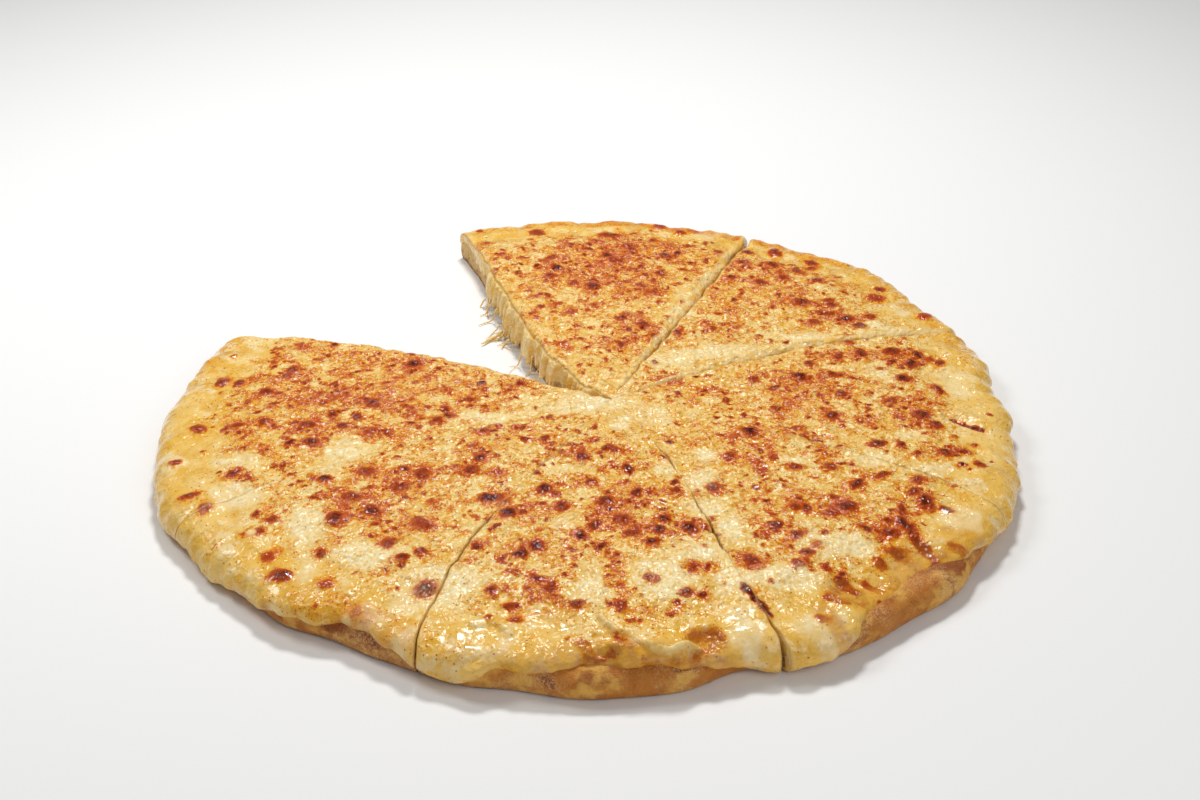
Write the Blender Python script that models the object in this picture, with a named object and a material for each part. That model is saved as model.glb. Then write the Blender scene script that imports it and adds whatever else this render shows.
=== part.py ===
"""A round pan pizza cut in eight, with one slice taken: seven slices, each a thick dough base
under its own layer of melted cheese. The cheese runs over the rim where it boiled over, and
hangs in torn tongues into the gap that the eighth slice was pulled from."""

import math

import bmesh
import bpy
import numpy as np

# Driving dimensions in metres. The pizza lies on z = 0, with its middle on the z axis.
PIZZA_RADIUS = 0.196  # of the dough's rim; the cheese stands out past it
CUT_CENTRE = (0.011, -0.009)  # the strokes of the knife cross a little off the middle

DOUGH_HEIGHT = 0.011
LIP_HEIGHT = 0.0128  # crest of the raised edge
LIP_DEPTH = 0.008  # from the rim in to the crest
LIP_WIDTH = 0.010  # how gently the lip rises from the flat dough
LIP_START = 0.020  # from the crest in to where the rows across the lip begin
WIDEST_HEIGHT = 0.0065  # height at which the rim reaches furthest out
FOOT_INSET = 0.003  # from the rim in to where the dough meets the table

CHEESE_DEPTH = 0.0082
RIM_CHEESE_DEPTH = 0.0042
THINNING_LENGTH = 0.030  # over which the cheese thins towards the rim
CHEESE_END_ROUND = 0.005
CHEESE_CLEARANCE = 0.0005  # between the dough and the cheese on it
LIP_CLEARANCE = 0.0006  # more of it over the lip, where the faces are coarse for the bend
CHEESE_REACH = 0.010  # past the lip's crest, down the outside

# Where the rim swells out or draws in: middle and half width in degrees, and by how much.
BULGES = (
    (2.0, 5.0, -0.0025),
    (12.0, 5.0, 0.0030),
    (42.0, 11.0, 0.0060),
    (168.0, 10.0, -0.0055),
    (201.0, 6.0, 0.0045),
    (244.0, 16.0, -0.0045),
    (289.0, 5.0, -0.0050),
    (302.0, 6.0, 0.0025),
    (322.0, 16.0, 0.0055),
)
# Fine waves of the rim and of the cheese's edge: how many go round, phase and height.
RIM_RIPPLES = ((17, 0.4, 0.0009), (29, 2.0, 0.0006))
EDGE_RIPPLES = ((23, 1.6, 0.0011), (37, 0.6, 0.0008))

TIP_DISTANCE = 0.0013  # from the crossing of the cuts to a slice's point
CUT_ROUND = 0.0032  # how far in the cheese's edge along a cut is rounded
CUT_SINK = 0.6  # how far down it is, as a share of that
CUT_ROUND_FROM = 0.020  # distance from the crossing at which it has its full size

# Each cut: its direction in degrees at three distances from the crossing, which bend it, and its
# width at the point and at the rim.
CUT_STATIONS = (0.030, 0.100, 0.190)
CUTS = {
    "a": ((65.8, 65.6, 66.1), 0.0008, 0.0042),
    "b": ((32.0, 27.8, 21.8), 0.0008, 0.0030),
    "c": ((-22.0, -21.8, -27.3), 0.0007, 0.0012),
    "d": ((-60.5, -67.0, -70.2), 0.0007, 0.0024),
    "e": ((-118.8, -118.6, -113.5), 0.0008, 0.0014),
    "f": ((-157.0, -156.6, -154.0), 0.0007, 0.0012),
    "g": ((-208.0, -205.5, -200.2), 0.0008, 0.0030),
    "h": ((-231.0, -240.5, -245.4), 0.0008, 0.0030),
}
# Slices by their place as the pizza is looked at from the front, each between two cuts. The
# slice between cuts h and g is the one that was taken.
SLICES = {
    "back": ("a", "h"),
    "back_right": ("b", "a"),
    "right": ("c", "b"),
    "front_right": ("d", "c"),
    "front": ("e", "d"),
    "front_left": ("f", "e"),
    "left": ("g", "f"),
}

# Where the cheese drew back from the lip: middle and half width in degrees, and how far.
BARE_LIPS = ((-90.0, 15.0, 0.0110), (-47.0, 11.0, 0.0115), (-124.0, 12.0, 0.0040))
# Where it ran down to the table instead.
DRIPS = ((-67.0, 6.0, 0.0070), (-156.0, 7.0, 0.0050), (-22.0, 7.0, 0.0040))
WAVE_HEIGHT = 0.0005  # of the waves all over the cheese
WAVE_LENGTHS = (0.013, 0.016, 0.031, 0.050)  # across, away, and of their slow bends
# Low swells and hollows of the cheese: x, y, radius and height.
SWELLS = (
    (0.070, 0.055, 0.050, 0.0010),
    (-0.050, -0.075, 0.060, 0.0009),
    (0.010, 0.110, 0.050, 0.0010),
    (-0.150, -0.045, 0.030, 0.0010),
    (0.026, -0.186, 0.018, 0.0014),
    (0.044, -0.178, 0.010, -0.0018),
    (0.067, -0.157, 0.012, 0.0012),
    (0.112, -0.148, 0.010, -0.0022),
    (0.140, -0.125, 0.016, 0.0012),
    (0.166, -0.054, 0.020, 0.0012),
)

# Mesh of a slice: rows up the inside of the lip, rows down its outside, columns across.
RISE_ROWS = 4
OUTSIDE_ROWS = 5
MIDDLE_COLUMNS = 8
EDGE_STEPS = (0.0, 0.0011, 0.0036)  # of the cheese's columns beside a cut
EDGE_STEPS_FROM = 0.030  # slice width at which those steps have their full size
DOUGH_FLAT_ROWS = 5
CHEESE_FLAT_ROWS = 10

# Torn cheese along the two sides of the gap: the distance from the crossing of the cuts, half
# width, how far it hangs out, how low it comes and the length of the tail on the table.
TORN_LEFT = (
    (0.036, 0.0055, 0.0042, 0.0075, 0.0),
    (0.062, 0.0075, 0.0052, 0.0035, 0.0),
    (0.083, 0.0040, 0.0060, 0.0012, 0.013),
    (0.103, 0.0080, 0.0046, 0.0065, 0.0),
    (0.127, 0.0055, 0.0060, 0.0012, 0.018),
    (0.149, 0.0085, 0.0048, 0.0060, 0.0),
    (0.173, 0.0060, 0.0056, 0.0030, 0.0),
)
TORN_BACK = (
    (0.046, 0.0050, 0.0042, 0.0085, 0.0),
    (0.078, 0.0070, 0.0048, 0.0060, 0.0),
    (0.108, 0.0040, 0.0056, 0.0012, 0.012),
    (0.146, 0.0065, 0.0046, 0.0075, 0.0),
)
TONGUE_SIDES = 8
TONGUE_ROOT_HEIGHT = 0.0046  # of a tongue's middle over the dough, where it leaves the layer
TONGUE_THICKNESS = 0.0014  # half the thickness at its root
TAIL_RADIUS = 0.0006

DOUGH_COLOUR = (0.60, 0.34, 0.13)
CHEESE_COLOUR = (0.84, 0.58, 0.22)


def bump(direction, features):
    """Sum of smooth humps round the rim, each (middle, half width in degrees, height)."""
    total = np.zeros_like(direction)
    for middle, half_width, height in features:
        turn = np.angle(np.exp(1j * (direction - math.radians(middle))))
        total = total + height * np.exp(-((turn / math.radians(half_width)) ** 2))
    return total


def ripple(direction, waves):
    """Sum of even waves round the rim, each (how many go round, phase, height)."""
    return sum(height * np.cos(count * direction + phase) for count, phase, height in waves)


def outline(direction):
    """Distance from the pizza's middle to the dough's rim, which is not quite round."""
    return PIZZA_RADIUS + bump(direction, BULGES) + ripple(direction, RIM_RIPPLES)


def rim(direction):
    """Distance from the crossing of the cuts to the rim, along a direction from that crossing."""
    distance = np.full_like(direction, PIZZA_RADIUS)
    for _ in range(6):
        x = CUT_CENTRE[0] + distance * np.cos(direction)
        y = CUT_CENTRE[1] + distance * np.sin(direction)
        distance = distance + outline(np.arctan2(y, x)) - np.hypot(x, y)
    return distance


def cut_direction(cut, distance):
    """Direction of a cut's middle line at a distance from the crossing, in radians."""
    bend = np.polyfit(CUT_STATIONS, CUTS[cut][0], 2)
    return np.radians(np.polyval(bend, np.maximum(distance, 0.5 * CUT_STATIONS[0])))


def cut_half_width(cut, distance):
    _, at_point, at_rim = CUTS[cut]
    return 0.5 * (at_point + (at_rim - at_point) * np.clip(distance / PIZZA_RADIUS, 0, 1))


def cheese_end(direction):
    """How far past the lip's crest the cheese runs, measured along the dough's skin."""
    even = CHEESE_REACH + ripple(direction, EDGE_RIPPLES)
    return even - bump(direction, BARE_LIPS) + bump(direction, DRIPS)


def dough_skin(along):
    """The dough's section: depth in from the rim, height, and the way a layer on it builds up
    (outward, upward), at a distance along the skin from the lip's crest: below zero on the flat,
    above it outside. Under the widest point a layer hangs straight down."""
    turn = np.clip(math.pi / 2 - along / LIP_DEPTH, -math.pi / 2, math.pi / 2)
    depth_reach = np.where(turn > 0, LIP_DEPTH, FOOT_INSET)
    height_reach = np.where(turn > 0, LIP_HEIGHT - WIDEST_HEIGHT, WIDEST_HEIGHT)
    depth = depth_reach * (1 - np.cos(turn)) + np.maximum(-along, 0)
    flat = DOUGH_HEIGHT + (LIP_HEIGHT - DOUGH_HEIGHT) * np.exp(-((along / LIP_WIDTH) ** 2))
    height = np.where(along < 0, flat, WIDEST_HEIGHT + height_reach * np.sin(turn))
    above = np.maximum(turn, 0)
    return depth, height, np.cos(above), np.sin(above)


def swell(x, y):
    """Height of the cheese's low waves over its even surface."""
    across, away, bend, slant = WAVE_LENGTHS
    total = WAVE_HEIGHT * np.sin(x / across + 2 * np.sin(y / bend)) * np.sin(y / away + x / slant)
    for cx, cy, radius, height in SWELLS:
        total = total + height * np.exp(-((x - cx) ** 2 + (y - cy) ** 2) / radius**2)
    return total


def columns(width, edge_steps):
    """Distances across a slice, one row of them for each width."""
    share = np.clip(width / EDGE_STEPS_FROM, 0, 1)[:, None]
    near = np.array(edge_steps)[None, :] * share
    inner = EDGE_STEPS[-1] * share
    step = np.linspace(0, 1, MIDDLE_COLUMNS + 2)[None, 1:-1]
    middle = inner + (width[:, None] - 2 * inner) * step
    return np.concatenate([near, middle, (width[:, None] - near)[:, ::-1]], axis=1)


def slice_sides(cuts, distance):
    """Directions of a slice's two sides at a distance from the crossing."""
    start = cut_direction(cuts[0], distance) + cut_half_width(cuts[0], distance) / distance
    end = cut_direction(cuts[1], distance) - cut_half_width(cuts[1], distance) / distance
    return start, start + np.mod(end - start, 2 * math.pi)


def place(cuts, share, distance, height):
    """Points of a slice by their share of the way across, distance from the crossing and height."""
    start, end = slice_sides(cuts, distance)
    direction = start + (end - start) * share
    x = CUT_CENTRE[0] + distance * np.cos(direction)
    y = CUT_CENTRE[1] + distance * np.sin(direction)
    return np.stack([x, y, height], axis=-1)


def lofted(name, top, bottom):
    """A closed solid between two matching sheets of points: one grid wrapped round both, sewn
    where its sides and its end rows meet, and closed at its point."""
    ring = np.concatenate([top, bottom[:, ::-1], top[:, :1]], axis=1)
    rows, around = ring.shape[:2]
    mesh = bpy.data.meshes.new(name)
    bm = bmesh.new()
    bmesh.ops.create_grid(bm, x_segments=around - 1, y_segments=rows - 1, size=1)
    for vertex, spot in zip(bm.verts, ring.reshape(-1, 3)):
        vertex.co = spot
    bmesh.ops.remove_doubles(bm, verts=bm.verts, dist=2e-5)
    bmesh.ops.holes_fill(bm, edges=[edge for edge in bm.edges if edge.is_boundary])
    bmesh.ops.recalc_face_normals(bm, faces=bm.faces)
    bm.to_mesh(mesh)
    bm.free()
    mesh.shade_smooth()
    mesh.set_sharp_from_angle(angle=math.radians(50))
    solid = bpy.data.objects.new(name, mesh)
    return solid


def slice_rows(cuts, flat_rows, edge_steps, skin_end):
    """Share of the way across, direction, skin distance and way to the nearer cut, for every row
    and column of a slice: flat rows from the point, rows up to the lip's crest, and rows from
    there to the skin's end."""
    first, last = slice_sides(cuts, np.array([PIZZA_RADIUS]))
    nearest = float(np.min(rim(np.linspace(first[0], last[0], 9)))) - LIP_DEPTH - LIP_START
    flat = TIP_DISTANCE + (nearest - TIP_DISTANCE) * np.linspace(0, 1, flat_rows) ** 0.8
    row_distance = np.concatenate([flat, np.full(RISE_ROWS + OUTSIDE_ROWS, PIZZA_RADIUS)])
    first, last = slice_sides(cuts, row_distance)
    width = (last - first) * row_distance
    across = columns(width, edge_steps)
    share = across / width[:, None]
    direction = first[:, None] + across / row_distance[:, None]
    to_cut = np.minimum(across, width[:, None] - across)
    along = LIP_DEPTH - rim(direction)
    along[:flat_rows] += flat[:, None]
    start = along[flat_rows - 1]
    end = skin_end(direction[-1])
    crest = np.minimum(0, end - CHEESE_END_ROUND)
    rise = np.linspace(0, 1, RISE_ROWS + 1)[1:, None]
    along[flat_rows : flat_rows + RISE_ROWS] = start + (crest - start) * rise
    fall = np.linspace(0, 1, OUTSIDE_ROWS + 1)[1:, None]
    along[-OUTSIDE_ROWS:] = crest + (end - crest) * fall
    return share, direction, along, to_cut


def dough_slice(name, cuts):
    """The thick base of one slice, with its raised lip and flat foot."""
    foot = math.pi * LIP_DEPTH
    share, direction, along, _ = slice_rows(
        cuts, DOUGH_FLAT_ROWS, EDGE_STEPS[:1], lambda way: np.full_like(way, foot)
    )
    depth, height, _, _ = dough_skin(along)
    reach = rim(direction)
    top = place(cuts, share, reach - depth, height)
    foot_depth = np.maximum(depth, FOOT_INSET)
    under = place(cuts, share, reach - foot_depth, np.zeros_like(height))
    return lofted(name, top, under)


def cheese_slice(name, cuts):
    """The melted layer on one slice: even inside, thin and rounded over the lip."""
    share, direction, along, to_cut = slice_rows(cuts, CHEESE_FLAT_ROWS, EDGE_STEPS, cheese_end)
    depth, height, outward, upward = dough_skin(along)
    reach = rim(direction) - depth
    inside = np.clip(-along / THINNING_LENGTH, 0, 1)
    thickness = RIM_CHEESE_DEPTH + (CHEESE_DEPTH - RIM_CHEESE_DEPTH) * inside
    left = cheese_end(direction) - along
    ending = np.clip(1 - left / CHEESE_END_ROUND, 0, 1)
    thickness = thickness * np.sqrt(1 - ending**2)
    spots = place(cuts, share, reach, height)
    lift = swell(spots[..., 0], spots[..., 1]) * (1 - ending)
    rounding = CUT_ROUND * np.clip(reach / CUT_ROUND_FROM, 0.2, 1)
    near_cut = np.clip(1 - to_cut / rounding, 0, 1)
    sunk = CUT_SINK * rounding * (1 - np.sqrt(1 - near_cut**2)) * (1 - ending)
    base = CHEESE_CLEARANCE + LIP_CLEARANCE * np.clip(1 + along / LIP_START, 0, 1)
    over = np.maximum(base + thickness + lift - sunk, base)
    top = place(cuts, share, reach + over * outward, height + over * upward)
    under = place(cuts, share, reach + base * outward, height + base * upward)
    return lofted(name, top, under)


def tongue(cut, side, distance, half_width, out, lowest, tail):
    """A torn tongue of cheese: rooted in the layer beside a cut, bent over its edge and down,
    and drawn out to a thread where it has a tail."""
    middle = float(cut_direction(cut, distance))
    outward = np.array([-math.sin(middle), math.cos(middle), 0.0]) * side
    inward_along = np.array([-math.cos(middle), -math.sin(middle), 0.0])
    edge = np.array([CUT_CENTRE[0], CUT_CENTRE[1], 0.0]) - inward_along * distance
    along = LIP_DEPTH + distance - rim(np.array(middle))
    crest = float(dough_skin(along)[1]) + TONGUE_ROOT_HEIGHT
    drop = crest - lowest
    path = [
        (-0.0060, crest - 0.0016, 1.0, 0.8),
        (-0.0020, crest - 0.0004, 1.0, 1.0),
        (0.45 * out, crest - 0.0006, 0.9, 1.0),
        (0.85 * out, crest - 0.25 * drop, 0.75, 0.95),
        (out, crest - 0.60 * drop, 0.50, 0.8),
        (1.05 * out, lowest + 0.0008, 0.24 if tail else 0.30, 0.6),
    ]
    if tail:
        path += [(out + share * tail, lowest, 0.11, 0.45) for share in (0.25, 0.6, 1.0)]
    bm = bmesh.new()
    rings = []
    for step, (way, height, width, thick) in enumerate(path):
        centre = edge + outward * way + inward_along * (0.12 * tail * step)
        centre[2] = height
        before, after = path[max(step - 1, 0)], path[min(step + 1, len(path) - 1)]
        run = np.array([after[0] - before[0], after[1] - before[1]])
        run = run / np.linalg.norm(run)
        normal = -outward * run[1] + np.array([0.0, 0.0, run[0]])
        made = bmesh.ops.create_circle(bm, segments=TONGUE_SIDES, radius=1.0)["verts"]
        for vertex in made:
            flat = vertex.co.x * max(half_width * width, TAIL_RADIUS)
            deep = vertex.co.y * max(TONGUE_THICKNESS * thick, TAIL_RADIUS)
            vertex.co = centre + inward_along * flat + normal * deep
        rings.append([edge for edge in bm.edges if edge.verts[0] in made and edge.verts[1] in made])
    for first, second in zip(rings, rings[1:]):
        bmesh.ops.bridge_loops(bm, edges=first + second)
    bmesh.ops.holes_fill(bm, edges=[edge for edge in bm.edges if edge.is_boundary])
    bmesh.ops.recalc_face_normals(bm, faces=bm.faces)
    mesh = bpy.data.meshes.new("tongue")
    bm.to_mesh(mesh)
    bm.free()
    return bpy.data.objects.new("tongue", mesh)


def fuse(solid, pieces):
    """Joins the pieces to the solid, applies the join and removes them."""
    helpers = bpy.data.collections.new("torn_cheese")
    bpy.context.scene.collection.children.link(helpers)
    for piece in pieces:
        helpers.objects.link(piece)
    union = solid.modifiers.new("torn cheese", "BOOLEAN")
    union.operation = "UNION"
    union.operand_type = "COLLECTION"
    union.collection = helpers
    graph = bpy.context.evaluated_depsgraph_get()
    joined = bpy.data.meshes.new_from_object(solid.evaluated_get(graph))
    solid.modifiers.clear()
    solid.data = joined
    for piece in pieces:
        bpy.data.objects.remove(piece)
    bpy.data.collections.remove(helpers)


def principled(name, colour, roughness):
    material = bpy.data.materials.new(name)
    material.use_nodes = True
    shader = material.node_tree.nodes["Principled BSDF"]
    shader.inputs["Base Color"].default_value = (*colour, 1)
    shader.inputs["Roughness"].default_value = roughness
    shader.inputs["Metallic"].default_value = 0.0
    material.diffuse_color = (*colour, 1)
    return material


def main():
    for old in list(bpy.data.objects):
        bpy.data.objects.remove(old)
    pizza = bpy.data.collections.new("pan_pizza")
    bpy.context.scene.collection.children.link(pizza)
    dough = principled("baked_dough", DOUGH_COLOUR, 0.75)
    cheese = principled("melted_cheese", CHEESE_COLOUR, 0.35)
    for place_name, cuts in SLICES.items():
        base = dough_slice("dough_" + place_name, cuts)
        layer = cheese_slice("cheese_" + place_name, cuts)
        base.data.materials.append(dough)
        layer.data.materials.append(cheese)
        pizza.objects.link(base)
        pizza.objects.link(layer)
    fuse(bpy.data.objects["cheese_left"], [tongue("g", -1, *torn) for torn in TORN_LEFT])
    fuse(bpy.data.objects["cheese_back"], [tongue("h", 1, *torn) for torn in TORN_BACK])


main()
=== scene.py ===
"""A pan pizza with one slice taken: browned melted cheese on thick dough, on a pale table."""

import math

import bmesh
import bpy
import numpy as np
from mathutils import Matrix, Vector


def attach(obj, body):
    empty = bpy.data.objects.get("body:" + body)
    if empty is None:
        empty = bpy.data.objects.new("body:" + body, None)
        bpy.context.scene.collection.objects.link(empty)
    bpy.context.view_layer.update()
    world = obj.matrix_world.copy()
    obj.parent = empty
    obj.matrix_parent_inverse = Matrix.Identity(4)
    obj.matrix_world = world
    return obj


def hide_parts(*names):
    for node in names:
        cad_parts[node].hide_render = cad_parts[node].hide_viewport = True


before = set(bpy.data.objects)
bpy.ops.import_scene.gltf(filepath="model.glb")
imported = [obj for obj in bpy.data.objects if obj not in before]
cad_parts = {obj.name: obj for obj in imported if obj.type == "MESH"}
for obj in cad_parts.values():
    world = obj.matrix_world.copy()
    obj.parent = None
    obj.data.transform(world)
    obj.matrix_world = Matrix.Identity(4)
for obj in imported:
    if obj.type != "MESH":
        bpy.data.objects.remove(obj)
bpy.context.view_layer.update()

# The pizza's shape, in metres. The dough, the layer's depth and the rim are those of the solids. How
# the cheese ends, its bare lips, drips and swells, the points of the slices and the width of the cuts
# are drawn finer here, and cut d meets the rim a little further round.
PIZZA_RADIUS = 0.196
CUT_CENTRE = (0.011, -0.009)
DOUGH_HEIGHT = 0.011
LIP_HEIGHT = 0.0128
LIP_DEPTH = 0.008
LIP_WIDTH = 0.010
LIP_START = 0.020
WIDEST_HEIGHT = 0.0065
FOOT_INSET = 0.003
CHEESE_DEPTH = 0.0082
RIM_CHEESE_DEPTH = 0.0042
THINNING_LENGTH = 0.030
CHEESE_END_ROUND = 0.0042
CHEESE_REACH = 0.010
TIP_DISTANCE = 0.0004
SOFT_TOP = 0.0203  # above this height the lumps are pressed down
TOP_ROOM = 0.0012

# At the rim, each row is a direction and a half width in degrees, and a size or a strength.
BULGES = (
    (2.0, 5.0, -0.0025),
    (12.0, 5.0, 0.0030),
    (42.0, 11.0, 0.0060),
    (168.0, 10.0, -0.0055),
    (201.0, 6.0, 0.0045),
    (244.0, 16.0, -0.0045),
    (289.0, 5.0, -0.0050),
    (302.0, 6.0, 0.0025),
    (322.0, 16.0, 0.0055),
)
# Waves round the rim: how many, where they start in radians, and their height.
RIM_RIPPLES = ((17, 0.4, 0.0009), (29, 2.0, 0.0006))
EDGE_RIPPLES = ((23, 1.6, 0.0011), (37, 0.6, 0.0008))
BARE_LIPS = ((-89.0, 12.0, 0.0088), (-47.0, 11.0, 0.0115), (-122.0, 8.0, 0.0030))
STEEP_ENDS = ((-88.0, 13.0, 1.0), (-60.0, 6.0, 0.6))  # where cheese on a bare lip ends in a face
DRIPS = (
    (-72.0, 5.5, 0.0110),
    (-63.0, 4.0, 0.0065),
    (-88.5, 1.6, 0.0025),
    (-153.0, 19.0, 0.0085),
    (-109.0, 5.5, 0.0075),
    (-22.0, 12.0, 0.0070),
    (178.0, 14.0, 0.0060),
    (12.0, 14.0, 0.0040),
)
BROWN_RIMS = ((75.0, 42.0, 0.95), (20.0, 12.0, 0.40), (165.0, 14.0, 0.45), (-122.0, 12.0, 0.8))
# Broad swells of the cheese: x, y, radius and height.
SWELLS = (
    (0.070, 0.055, 0.050, 0.0008),
    (-0.050, -0.075, 0.060, 0.0007),
    (0.010, 0.110, 0.050, 0.0008),
    (-0.150, -0.045, 0.030, 0.0010),
    (0.026, -0.180, 0.018, 0.0010),
    (0.067, -0.157, 0.012, 0.0010),
    (0.140, -0.125, 0.016, 0.0012),
    (0.166, -0.054, 0.020, 0.0010),
    (-0.139, -0.113, 0.006, 0.0010),
)

# Each cut: its direction at three distances from the crossing, its width at the point and at
# the rim, and how far the cheese is rounded on its clockwise and anticlockwise sides.
CUT_STATIONS = (0.030, 0.100, 0.190)
CUTS = {
    "a": ((65.8, 65.6, 66.1), 0.0002, 0.0030, 0.0026, 0.0048),
    "b": ((32.0, 27.8, 21.8), 0.0002, 0.0024, 0.0020, 0.0050),
    "c": ((-22.0, -21.8, -27.3), 0.0001, 0.0006, 0.0014, 0.0022),
    "d": ((-60.5, -67.2, -69.2), 0.0001, 0.0050, 0.0030, 0.0022),
    "e": ((-118.8, -118.6, -113.5), 0.0001, 0.0008, 0.0016, 0.0022),
    "f": ((-157.0, -156.6, -154.0), 0.0001, 0.0005, 0.0012, 0.0016),
    "g": ((-208.0, -205.5, -200.2), 0.0008, 0.0030, 0.0026, 0.0026),
    "h": ((-231.0, -240.5, -245.4), 0.0008, 0.0030, 0.0026, 0.0026),
}
# How open each cut is at distances from the crossing: 0 where the cheese has melted together.
OPENING = {
    "a": ((0.0, 0.15), (0.020, 0.45), (0.055, 1.0), (0.2, 1.0)),
    "b": ((0.0, 0.10), (0.030, 0.60), (0.070, 1.0), (0.2, 1.0)),
    "c": ((0.085, 0.0), (0.103, 0.6), (0.118, 0.0), (0.150, 0.8), (0.170, 0.2), (0.186, 1.0)),
    "d": (
        (0.040, 0.0), (0.054, 0.6), (0.072, 0.0), (0.110, 0.45), (0.135, 0.0), (0.168, 0.08), (0.188, 1.0),
    ),
    "e": (
        (0.036, 0.0), (0.052, 0.5), (0.080, 0.0), (0.100, 0.2), (0.116, 0.9), (0.165, 0.6), (0.190, 1.0),
    ),
    "f": ((0.040, 0.0), (0.058, 0.7), (0.085, 0.1), (0.110, 0.0), (0.172, 0.0), (0.190, 0.5)),
    "g": ((0.0, 1.0), (0.2, 1.0)),
    "h": ((0.0, 1.0), (0.2, 1.0)),
}
MELTED_OVER = 0.00006  # how far each side of a melted cut runs past the cut's middle
BROAD_ROUNDING = 0.004  # a cut rounded by more than this also sinks and pales more
SLICES = {
    "back": ("a", "h"),
    "back_right": ("b", "a"),
    "right": ("c", "b"),
    "front_right": ("d", "c"),
    "front": ("e", "d"),
    "front_left": ("f", "e"),
    "left": ("g", "f"),
}
WANDER = 0.0009  # how far a cut strays to either side

# Where the missing slice tore the cheese: the gap's side of each cut, and its tongues, each with
# its distance from the crossing, half width, way out into the gap, lowest height and tail.
GAP_SIDE = {"g": -1, "h": 1}
TORN = {
    "g": (
        (0.036, 0.0055, 0.0042, 0.0075, 0.0),
        (0.062, 0.0075, 0.0052, 0.0035, 0.0),
        (0.083, 0.0040, 0.0060, 0.0012, 0.013),
        (0.103, 0.0080, 0.0046, 0.0065, 0.0),
        (0.127, 0.0055, 0.0060, 0.0012, 0.018),
        (0.149, 0.0085, 0.0048, 0.0060, 0.0),
        (0.173, 0.0060, 0.0056, 0.0030, 0.0),
    ),
    "h": (
        (0.046, 0.0050, 0.0042, 0.0085, 0.0),
        (0.078, 0.0070, 0.0048, 0.0060, 0.0),
        (0.108, 0.0040, 0.0056, 0.0012, 0.012),
        (0.146, 0.0065, 0.0046, 0.0075, 0.0),
    ),
}
SMALL_SHREDS = 60  # beside the tongues, along each torn edge
STRINGS = {"g": 26, "h": 20}
STRING_POINTS = 15

WHITE_GLINT_FOLDS = 2  # the first of the folds, which stayed white in part and carry a painted highlight along their glossy crest
# Folds of the melted cheese: the line that each follows, its half width, and its height.
FOLDS = (
    (((0.006, -0.169), (0.011, -0.175), (0.017, -0.178), (0.020, -0.182), (0.025, -0.186)),
     0.0013, 0.0026),
    (((0.025, -0.186), (0.032, -0.1865), (0.039, -0.183), (0.043, -0.182)), 0.0013, 0.0030),
    (((0.038, -0.178), (0.042, -0.172), (0.049, -0.172), (0.053, -0.177)), 0.0016, 0.0014),
    (((0.055, -0.180), (0.062, -0.184), (0.070, -0.182)), 0.0026, 0.0012),
    (((0.022, -0.171), (0.034, -0.175)), 0.0080, -0.0012),
    (((0.011, -0.184), (0.017, -0.186)), 0.0026, 0.0016),
    (((0.004, -0.178), (0.013, -0.180)), 0.0026, -0.0016),
    (((-0.044, -0.171), (-0.035, -0.168), (-0.029, -0.175)), 0.0020, 0.0018),
    (((-0.062, -0.184), (-0.046, -0.187), (-0.033, -0.186)), 0.0012, -0.0007),
    (((0.005, -0.1865), (0.012, -0.1885)), 0.0016, -0.0026),
    (((0.043, -0.178), (0.047, -0.178)), 0.0044, -0.0032),
    (((0.044, -0.182), (0.042, -0.187)), 0.0030, -0.0020),
    (((0.062, -0.148), (0.066, -0.157), (0.071, -0.168)), 0.0022, 0.0010),
    (((0.102, -0.145), (0.115, -0.144)), 0.0050, -0.0024),
    (((0.108, -0.155), (0.120, -0.156)), 0.0050, -0.0016),
    (((0.122, -0.138), (0.131, -0.146), (0.133, -0.158)), 0.0040, 0.0010),
    (((0.136, -0.113), (0.141, -0.124), (0.148, -0.134)), 0.0030, -0.0013),
    (((0.150, -0.118), (0.163, -0.124), (0.169, -0.119)), 0.0030, 0.0009),
    (((0.167, -0.021), (0.175, -0.028), (0.182, -0.034)), 0.0018, -0.0012),
    (((0.172, -0.018), (0.181, -0.024), (0.190, -0.032)), 0.0028, 0.0009),
    (((-0.024, -0.016), (-0.008, -0.009), (0.006, 0.005)), 0.0030, 0.0008),
    (((-0.050, 0.008), (-0.020, -0.004), (0.004, -0.010)), 0.0024, 0.0005),
    (((-0.003, 0.030), (0.003, 0.014), (0.008, 0.002)), 0.0022, 0.0005),
)
# White lumps, painted highlights of glints: x, y and half width.
WHITE_GLINT_LUMPS = ((-0.139, -0.113, 0.0024), (0.040, -0.181, 0.0014))
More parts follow.
